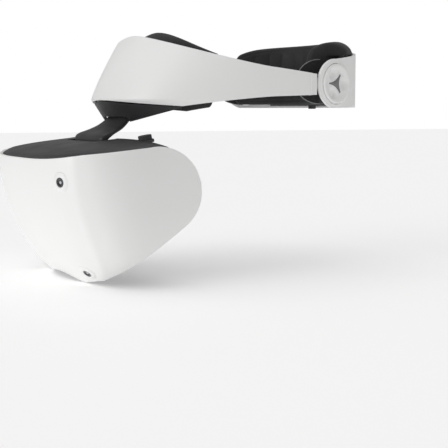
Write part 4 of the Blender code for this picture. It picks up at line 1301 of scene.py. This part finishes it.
class ScopePanels(bpy.types.Operator):
    """Build the domed black panels above and below the scope, open round the dial and the buttons"""

    bl_idname = "headset.scope_panels"
    bl_label = "Scope panels"

    def execute(self, context):
        count = 160
        half, notch_y = NECK_SLOT
        start = (half + 1, notch_y + 1)
        front = scope_rim(even_u(1.31, count), top_edge, PANEL_INSET)
        curve = self.back_curve(1.33, top_edge, PANEL_INSET, start[0])
        notch = np.array([(0, notch_y), NECK_SLOT, start])
        back = np.concatenate(
            [along_curve(notch, 36), along_curve(np.array([start, curve[0]]), 24)[1:]]
            + [along_curve(curve, count - 58)[1:]]
        )
        holes = [(*DIAL_PLACE, DIAL_RADIUS + 0.5)]
        self.panel("scope_lid", front, back, top_height, "scope_top_panel", -60, holes)
        inset = PANEL_INSET + 0.8
        front = scope_rim(even_u(1.28, count), bottom_edge, inset)
        nose_x = np.linspace(0, 22.9, 80)
        nose = np.stack([nose_x, 11 - np.sqrt(24**2 - nose_x**2)], axis=-1)
        curve = self.back_curve(1.3, bottom_edge, inset, nose_x[-1])[1:]
        back = along_curve(np.concatenate([nose, curve]), count)
        holes = [(x, y, radius + 0.4) for x, y, radius, _ in BUTTONS.values()]
        self.panel("scope_floor", front, back, bottom_height, "scope_bottom_panel", 60, holes)
        return {"FINISHED"}

    def back_curve(self, u, edge, inset, start):
        """A parabola in plan with its tip at y = 2 on the middle plane, from x = start to the rim at u."""
        end = scope_rim(np.array([u]), edge, inset)[0]
        x = np.linspace(start, end[0], 200)
        return np.stack([x, 2 + (end[1] - 2) * (x / end[0]) ** 2], axis=-1)

    def panel(self, name, front, back, height, node, inward, holes):
        """A ruled panel over both sides of the scope, with its walls towards the height inward."""
        back = np.concatenate([back[:0:-1] * (-1, 1), back])
        front = mirrored(front)
        grid = ruled_panel(front, back, height, front[:, 2], 64)
        points, faces = with_holes(grid.reshape(-1, 3), grid_faces(*grid.shape[:2]), holes)
        middle = scope_world(np.array((0, -30, inward)))
        form = scope_world(points), faces
        put_piece(name, form, "abs_black_moulded", "scope", [node], panel_walls(), centre=middle)


class RearFrame(bpy.types.Operator):
    """Build the scope's rear wall round the face opening"""

    bl_idname = "headset.rear_frame"
    bl_label = "Rear frame"

    def execute(self, context):
        outline = self.outline()
        centre = np.array((0, LENS_Z))
        angles = np.linspace(0, 2 * math.pi, 360, endpoint=False)
        opening = superellipse(SHIELD_HALF[0] + 0.9, SHIELD_HALF[1] + 0.9, SHIELD_POWER, angles)
        ways = np.stack([np.cos(angles), np.sin(angles)], axis=-1)
        inner = centre + ways * polar_reach(opening, np.zeros(2), angles)[:, None]
        outer = centre + ways * polar_reach(outline, centre, angles)[:, None]
        flat = inner + (outer - inner) * np.linspace(0, 1, 26)[:, None, None]
        x, z = flat[..., 0], flat[..., 1]
        grid = scope_world(np.stack([x, rear_wall_y(x, z), z], axis=-1))
        form = grid, grid_faces(*grid.shape[:2], across=True)
        ahead = scope_world(np.array((0, -60, 0)))
        node = "scope_rear_frame"
        put_piece("scope_back_wall", form, "abs_black_moulded", "scope", [node], panel_walls(), centre=ahead)
        return {"FINISHED"}

    def outline(self):
        """The wall's outer edge: parabolas above and below, the wings' circle, and the step at the neck."""
        a, s = np.linspace(0, 1, 120), np.linspace(0, 1, 90)
        top_z, low_z = WALL_TOP - 5.56 * a**2, WALL_TOP - WALL_HEIGHT + 3.94 * a**2
        side_z = WALL_RADIUS * np.cos(np.radians(WALL_START + WALL_SWEEP * s))
        top = np.stack([a * (wing_width(top_z) - WALL_INSET), top_z], axis=-1)
        top = top[top[:, 0] > 35.2]
        half = np.concatenate(
            [
                along_curve(np.array([(0, 27.6), (35, 27.6)]), 40),
                along_curve(np.array([(35, 27.6), top[0]]), 10),
                top,
                np.stack([wing_width(side_z) - WALL_INSET, side_z], axis=-1),
                np.stack([a * (wing_width(low_z) - WALL_INSET), low_z], axis=-1)[::-1],
            ]
        )
        return np.concatenate([half, half * (-1, 1)])


class LightShield(bpy.types.Operator):
    """Build the soft folded shield that closes round the wearer's eyes"""

    bl_idname = "headset.light_shield"
    bl_label = "Light shield"

    def execute(self, context):
        angles = np.linspace(0, 2 * math.pi, 220, endpoint=False)
        share = np.linspace(0, 1, 60)
        outer = np.stack([share, 0 * share, 0 * share], axis=-1)
        turn = np.linspace(0, math.pi, 9)[1:-1]
        lip = np.stack([1 + 0 * turn, SHIELD_WALL * (1 - np.cos(turn)) / 2, 1.3 * np.sin(turn)], axis=-1)
        inner = outer[::-1] + (0, SHIELD_WALL, 0)
        section = np.concatenate([outer, lip, inner])
        rings = scope_world(np.array([self.ring(angles, *row) for row in section]))
        piece = put_piece("face_shield", tube(rings), "silicone_moulded", "scope", ["light_shield"])
        return {"FINISHED"}

    def ring(self, angles, share, inset, proud):
        """A superellipse that grows towards the face, folded as a sine of share, with a bell for the nose."""
        fold = sizes().fold_depth / MM * math.sin(6 * math.pi * share)
        fold *= float(smooth(share, 0.22, 0.34) * (1 - smooth(share, 0.8, 0.94)))
        inset = inset - fold
        outline = superellipse(SHIELD_HALF[0] - inset, SHIELD_HALF[1] - inset, SHIELD_POWER, angles)
        flare = max(0, share - 0.4) / 0.6
        x = outline[:, 0] * (1 + 0.02 * flare)
        grow = np.where(outline[:, 1] > 0, 1 + 0.12 * flare, 1 + 0.2 * flare)
        nose = 15 * flare * np.exp(-((x / 15) ** 2)) * smooth(-outline[:, 1], 0, 8)
        z = outline[:, 1] * grow + nose + LENS_Z
        rim_y = 24 + 20 * (x / SHIELD_HALF[0]) ** 2
        return np.stack([x, -4 + (rim_y + 4) * share + proud, z], axis=-1)


class Optics(bpy.types.Operator):
    """Build the lens barrels, the ringed lenses and the dark surround between them"""

    bl_idname = "headset.optics"
    bl_label = "Optics"

    def execute(self, context):
        inner = BARREL_RADIUS - BARREL_WALL
        corners = [(inner, -31), (inner, 3.2), (inner + 0.8, 4), (BARREL_RADIUS, 4), (BARREL_RADIUS, -31)]
        barrel = rounded_profile(corners, 0.4)
        lens = self.lens_profile(inner - 0.3)
        axes = np.array(((1, 0, 0), (0, 0, 1), (0, -1, 0)))
        for side, label in KNOB_SIDES:
            body, place = "lens_" + label, (side * LENS_X, 0, LENS_Z)
            form = tube(scope_world(placed(turned(barrel, 128), place, axes)))
            node = "lens_barrel_" + label
            put_piece("eyepiece_" + label, form, "abs_black_moulded", body, [node], sharp=50)
            form = capped(scope_world(placed(turned(lens, 128), place, axes)))
            put_piece("eye_" + body, form, "acrylic_lens_moulded", body, [body], sharp=30)
            refinish("display_glass_laminated", "display_" + label)
        self.surround()
        refinish("steel_ground", "lens_rail_upper", "lens_rail_lower")
        refinish("abs_black_moulded", "optics_frame")
        return {"FINISHED"}

    def lens_profile(self, lens_radius):
        """A parabola with ring steps as a sawtooth of the radius, and a shallower back."""
        radius = np.linspace(0.2, lens_radius, 150)
        front = 5.4 - 4.6 * (radius / lens_radius) ** 2
        front = front + 0.14 * (radius / 1.5 % 1) * smooth(radius, 2.5, 5)
        back = [(lens_radius, -2), (10, -4.4), (0.2, -5.4)]
        return np.concatenate([np.stack([radius, front], axis=-1), back])

    def surround(self):
        """A dished plate: straight lines from each lens's slot to half of the opening's outline."""
        angles = np.linspace(0, 2 * math.pi, 240, endpoint=False)
        ways = np.stack([np.cos(angles), np.sin(angles)], axis=-1)
        slot = ways * (BARREL_RADIUS + 0.7) + np.stack([3.7 * np.sign(ways[:, 0]), 0 * angles], axis=-1)
        quarter = np.radians(np.linspace(-90, 90, 400))
        rim = superellipse(SHIELD_HALF[0] - 2.9, SHIELD_HALF[1] - 2.9, SHIELD_POWER, quarter)
        outline = np.concatenate([rim, along_curve(np.array([rim[-1], rim[0]]), 120)])
        outline[:, 0] = np.maximum(outline[:, 0], 0)
        centre = np.array((LENS_X, 0.0))
        inner = centre + ways * polar_reach(slot, np.zeros(2), angles)[:, None]
        outer = centre + ways * polar_reach(outline, centre, angles)[:, None]
        t = np.linspace(0, 1, 9)[:, None, None]
        flat = inner + (outer - inner) * t
        depth = -3.2 - 2.6 * (1 - t[..., 0] ** 2) + 0 * flat[..., 0]
        half = np.stack([flat[..., 0], depth, flat[..., 1] + LENS_Z], axis=-1)
        faces = grid_faces(*half.shape[:2], across=True)
        count = half[..., 0].size
        points = np.concatenate([half.reshape(-1, 3), (half * (-1, 1, 1)).reshape(-1, 3)])
        points, faces = welded(points, np.concatenate([faces, faces[:, ::-1] + count]))
        form = scope_world(points), faces
        ahead = scope_world(np.array((0, -60, LENS_Z)))
        put_piece("eye_surround", form, "silicone_moulded", "scope", walls=(0.0008, 0), centre=ahead)


class ScopeControls(bpy.types.Operator):
    """Build the knurled lens dial in its collar and the round buttons under the scope"""

    bl_idname = "headset.scope_controls"
    bl_label = "Scope controls"

    def execute(self, context):
        self.dial()
        for name, (x, y, radius, body) in BUTTONS.items():
            place = (x, y, float(bottom_height(np.float64(x), np.float64(y))) - 0.8)
            cap = [(0.2, 0.15), (radius * 0.6, 0.05), (radius, 0), (radius, 4.6), (0.2, 4.6)]
            form = capped(scope_world(placed(turned(rounded_profile(cap, 0.35), 80), place, np.eye(3))))
            put_piece(name + "_cap", form, "abs_grey_moulded", body, [name], sharp=50)
            ring = [(radius + 0.3, 1.8), (radius + 0.3, 0.75), (radius + 0.55, 0.5), (radius + 1, 0.6)]
            ring += [(radius + 1.3, 0.95), (radius + 1.3, 1.8)]
            form = tube(scope_world(placed(turned(ring, 80), place, np.eye(3))))
            put_piece(name + "_ring", form, "abs_black_moulded", "scope")
        return {"FINISHED"}

    def dial(self):
        """A turned knob, its side knurled by the square of a cosine, in a turned collar."""
        x, y = DIAL_PLACE
        place = (x, y, float(top_height(np.float64(x), np.float64(y))) + 0.6)
        edge = DIAL_RADIUS
        profile = [(0.2, 3.2), (3.4, 3.3), (4.0, 3.8), (edge, 3.7), (edge, -1.2), (0.2, -1.2)]
        profile = rounded_profile(profile, 0.35)
        rings = turned(profile, 240)
        angle = np.linspace(0, 2 * math.pi, 240, endpoint=False)
        side = smooth(profile[:, 0], edge - 0.25, edge)[:, None]
        rings[..., :2] *= (1 - 0.035 * side * (0.5 + 0.5 * np.cos(40 * angle)) ** 2)[..., None]
        form = capped(scope_world(placed(rings, place, np.eye(3))))
        put_piece("distance_dial", form, "abs_black_moulded", "lens_dial", ["lens_dial"], sharp=50)
        collar = [(edge + 0.4, -2.2), (edge + 0.4, -0.15), (edge + 0.6, 0.1)]
        collar += [(edge + 1.0, 0.0), (edge + 1.4, -0.5), (edge + 1.4, -2.2)]
        form = tube(scope_world(placed(turned(collar, 120), place, np.eye(3))))
        put_piece("dial_collar", form, "abs_black_moulded", "scope")


class InnerParts(bpy.types.Operator):
    """Give the frame's own inner parts their finishes"""

    bl_idname = "headset.inner_parts"
    bl_label = "Inner parts"

    def execute(self, context):
        refinish("abs_black_moulded", "arm_carriage", "fan_housing", "fan_rotor")
        refinish("steel_ground", "vibration_motor", "vibration_weight", "slide_rail_left", "slide_rail_right")
        refinish("steel_ground", *[f"frame_screw_{number}" for number in (1, 2, 3, 4)])
        refinish("aluminium_extruded", "heat_sink")
        refinish("glass_fibre_board_printed", "main_board")
        return {"FINISHED"}


# ---------------------------------------------------------------- stage


CAMERA_PLACE = (0.838, -0.447, -0.024)  # metres
CAMERA_WAY = (-0.883, 0.4695, 0.0)
CAMERA_PITCH = math.atan(112 / 1063)
CAMERA_LENS = 85.4
SUNS = {  # direction the light comes from, watts per square metre, angle in degrees
    "front_key": ((0.1, -0.98, 0.12), 1.55, 50),
    "top_soft": ((-0.1, 0.1, 1.0), 0.6, 60),
}
SKY = 0.38


class Stage(bpy.types.Operator):
    """Set the floor, the soft lights, the background and the camera"""

    bl_idname = "headset.stage"
    bl_label = "Stage"

    def execute(self, context):
        scene = context.scene
        lowest = CAD_BOX[0][2] - 0.0006
        step = np.linspace(-1, 1, 41)
        x, y = np.meshgrid(step * 6, step * 6)
        points = np.stack([x, y, 0 * x + lowest], axis=-1).reshape(-1, 3)
        mesh = bpy.data.meshes.new("studio_floor")
        mesh.from_pydata(points.tolist(), [], grid_faces(41, 41).tolist())
        mesh.flip_normals()
        mesh.materials.append(get_finish("acrylic_opal_backlit"))
        floor = bpy.data.objects.new("studio_floor", mesh)
        scene.collection.objects.link(floor)
        for name, (source, power, angle) in SUNS.items():
            light = bpy.data.lights.new(name, "SUN")
            light.energy, light.angle = power, math.radians(angle)
            lamp = bpy.data.objects.new(name, light)
            lamp.rotation_mode = "QUATERNION"
            lamp.rotation_quaternion = Vector(source).to_track_quat("Z", "Y")
            scene.collection.objects.link(lamp)
        self.background(scene)
        camera = bpy.data.cameras.new("camera")
        camera.lens = CAMERA_LENS
        camera.clip_start, camera.clip_end = 0.01, 50
        eye = bpy.data.objects.new("camera", camera)
        eye.location = CAMERA_PLACE
        way = np.array(CAMERA_WAY) * math.cos(CAMERA_PITCH) - np.array((0, 0, math.sin(CAMERA_PITCH)))
        eye.rotation_mode = "QUATERNION"
        eye.rotation_quaternion = Vector(way).to_track_quat("-Z", "Y")
        scene.collection.objects.link(eye)
        scene.camera = eye
        scene.view_settings.view_transform = "Standard"
        return {"FINISHED"}

    def background(self, scene):
        """White behind the object, and a dimmer, even light from all round it."""
        world = bpy.data.worlds.new("studio")
        world.use_nodes = True
        tree = world.node_tree
        tree.nodes.clear()
        seen = add_node(tree, "ShaderNodeBackground", {"Color": (1, 1, 1, 1), "Strength": 1.0})
        lit = add_node(tree, "ShaderNodeBackground", {"Color": (1, 1, 1, 1), "Strength": SKY})
        ray = add_node(tree, "ShaderNodeLightPath").outputs["Is Camera Ray"]
        mix = add_node(tree, "ShaderNodeMixShader", {0: ray, 1: lit.outputs[0], 2: seen.outputs[0]})
        add_node(tree, "ShaderNodeOutputWorld", {"Surface": mix.outputs[0]})
        scene.world = world


# ---------------------------------------------------------------- add-on


PIECE_OPERATORS = (
    BandShell,
    BandInside,
    BridgeArm,
    ForeheadPad,
    RearShell,
    RearPad,
    FitKnobs,
    ScopeShell,
    Cameras,
    ScopePanels,
    RearFrame,
    LightShield,
    Optics,
    ScopeControls,
    InnerParts,
    Stage,
)


class HeadsetPanel(bpy.types.Panel):
    """Lists the headset's pieces, their sizes and their colours"""

    bl_idname = "VIEW3D_PT_headset"
    bl_label = "Headset"
    bl_space_type = "VIEW_3D"
    bl_region_type = "UI"
    bl_category = "Headset"

    def draw(self, context):
        for group in (context.scene.headset_sizes, context.scene.headset_colours):
            column = self.layout.column()
            for name in group.__annotations__:
                column.prop(group, name)
        column = self.layout.column(align=True)
        for operator in PIECE_OPERATORS:
            column.operator(operator.bl_idname)


CLASSES = (HeadsetSizes, HeadsetColours, *PIECE_OPERATORS, HeadsetPanel)


def register():
    for cls in CLASSES:
        bpy.utils.register_class(cls)
    bpy.types.Scene.headset_sizes = bpy.props.PointerProperty(type=HeadsetSizes)
    bpy.types.Scene.headset_colours = bpy.props.PointerProperty(type=HeadsetColours)


def unregister():
    del bpy.types.Scene.headset_colours
    del bpy.types.Scene.headset_sizes
    for cls in reversed(CLASSES):
        bpy.utils.unregister_class(cls)


def main():
    register()
    bpy.ops.headset.band_shell()
    bpy.ops.headset.band_inside()
    bpy.ops.headset.bridge_arm()
    bpy.ops.headset.forehead_pad()
    bpy.ops.headset.rear_shell()
    bpy.ops.headset.rear_pad()
    bpy.ops.headset.fit_knobs()
    bpy.ops.headset.scope_shell()
    bpy.ops.headset.cameras()
    bpy.ops.headset.scope_panels()
    bpy.ops.headset.rear_frame()
    bpy.ops.headset.light_shield()
    bpy.ops.headset.optics()
    bpy.ops.headset.scope_controls()
    bpy.ops.headset.inner_parts()
    bpy.ops.headset.stage()


if __name__ == "__main__":
    main()
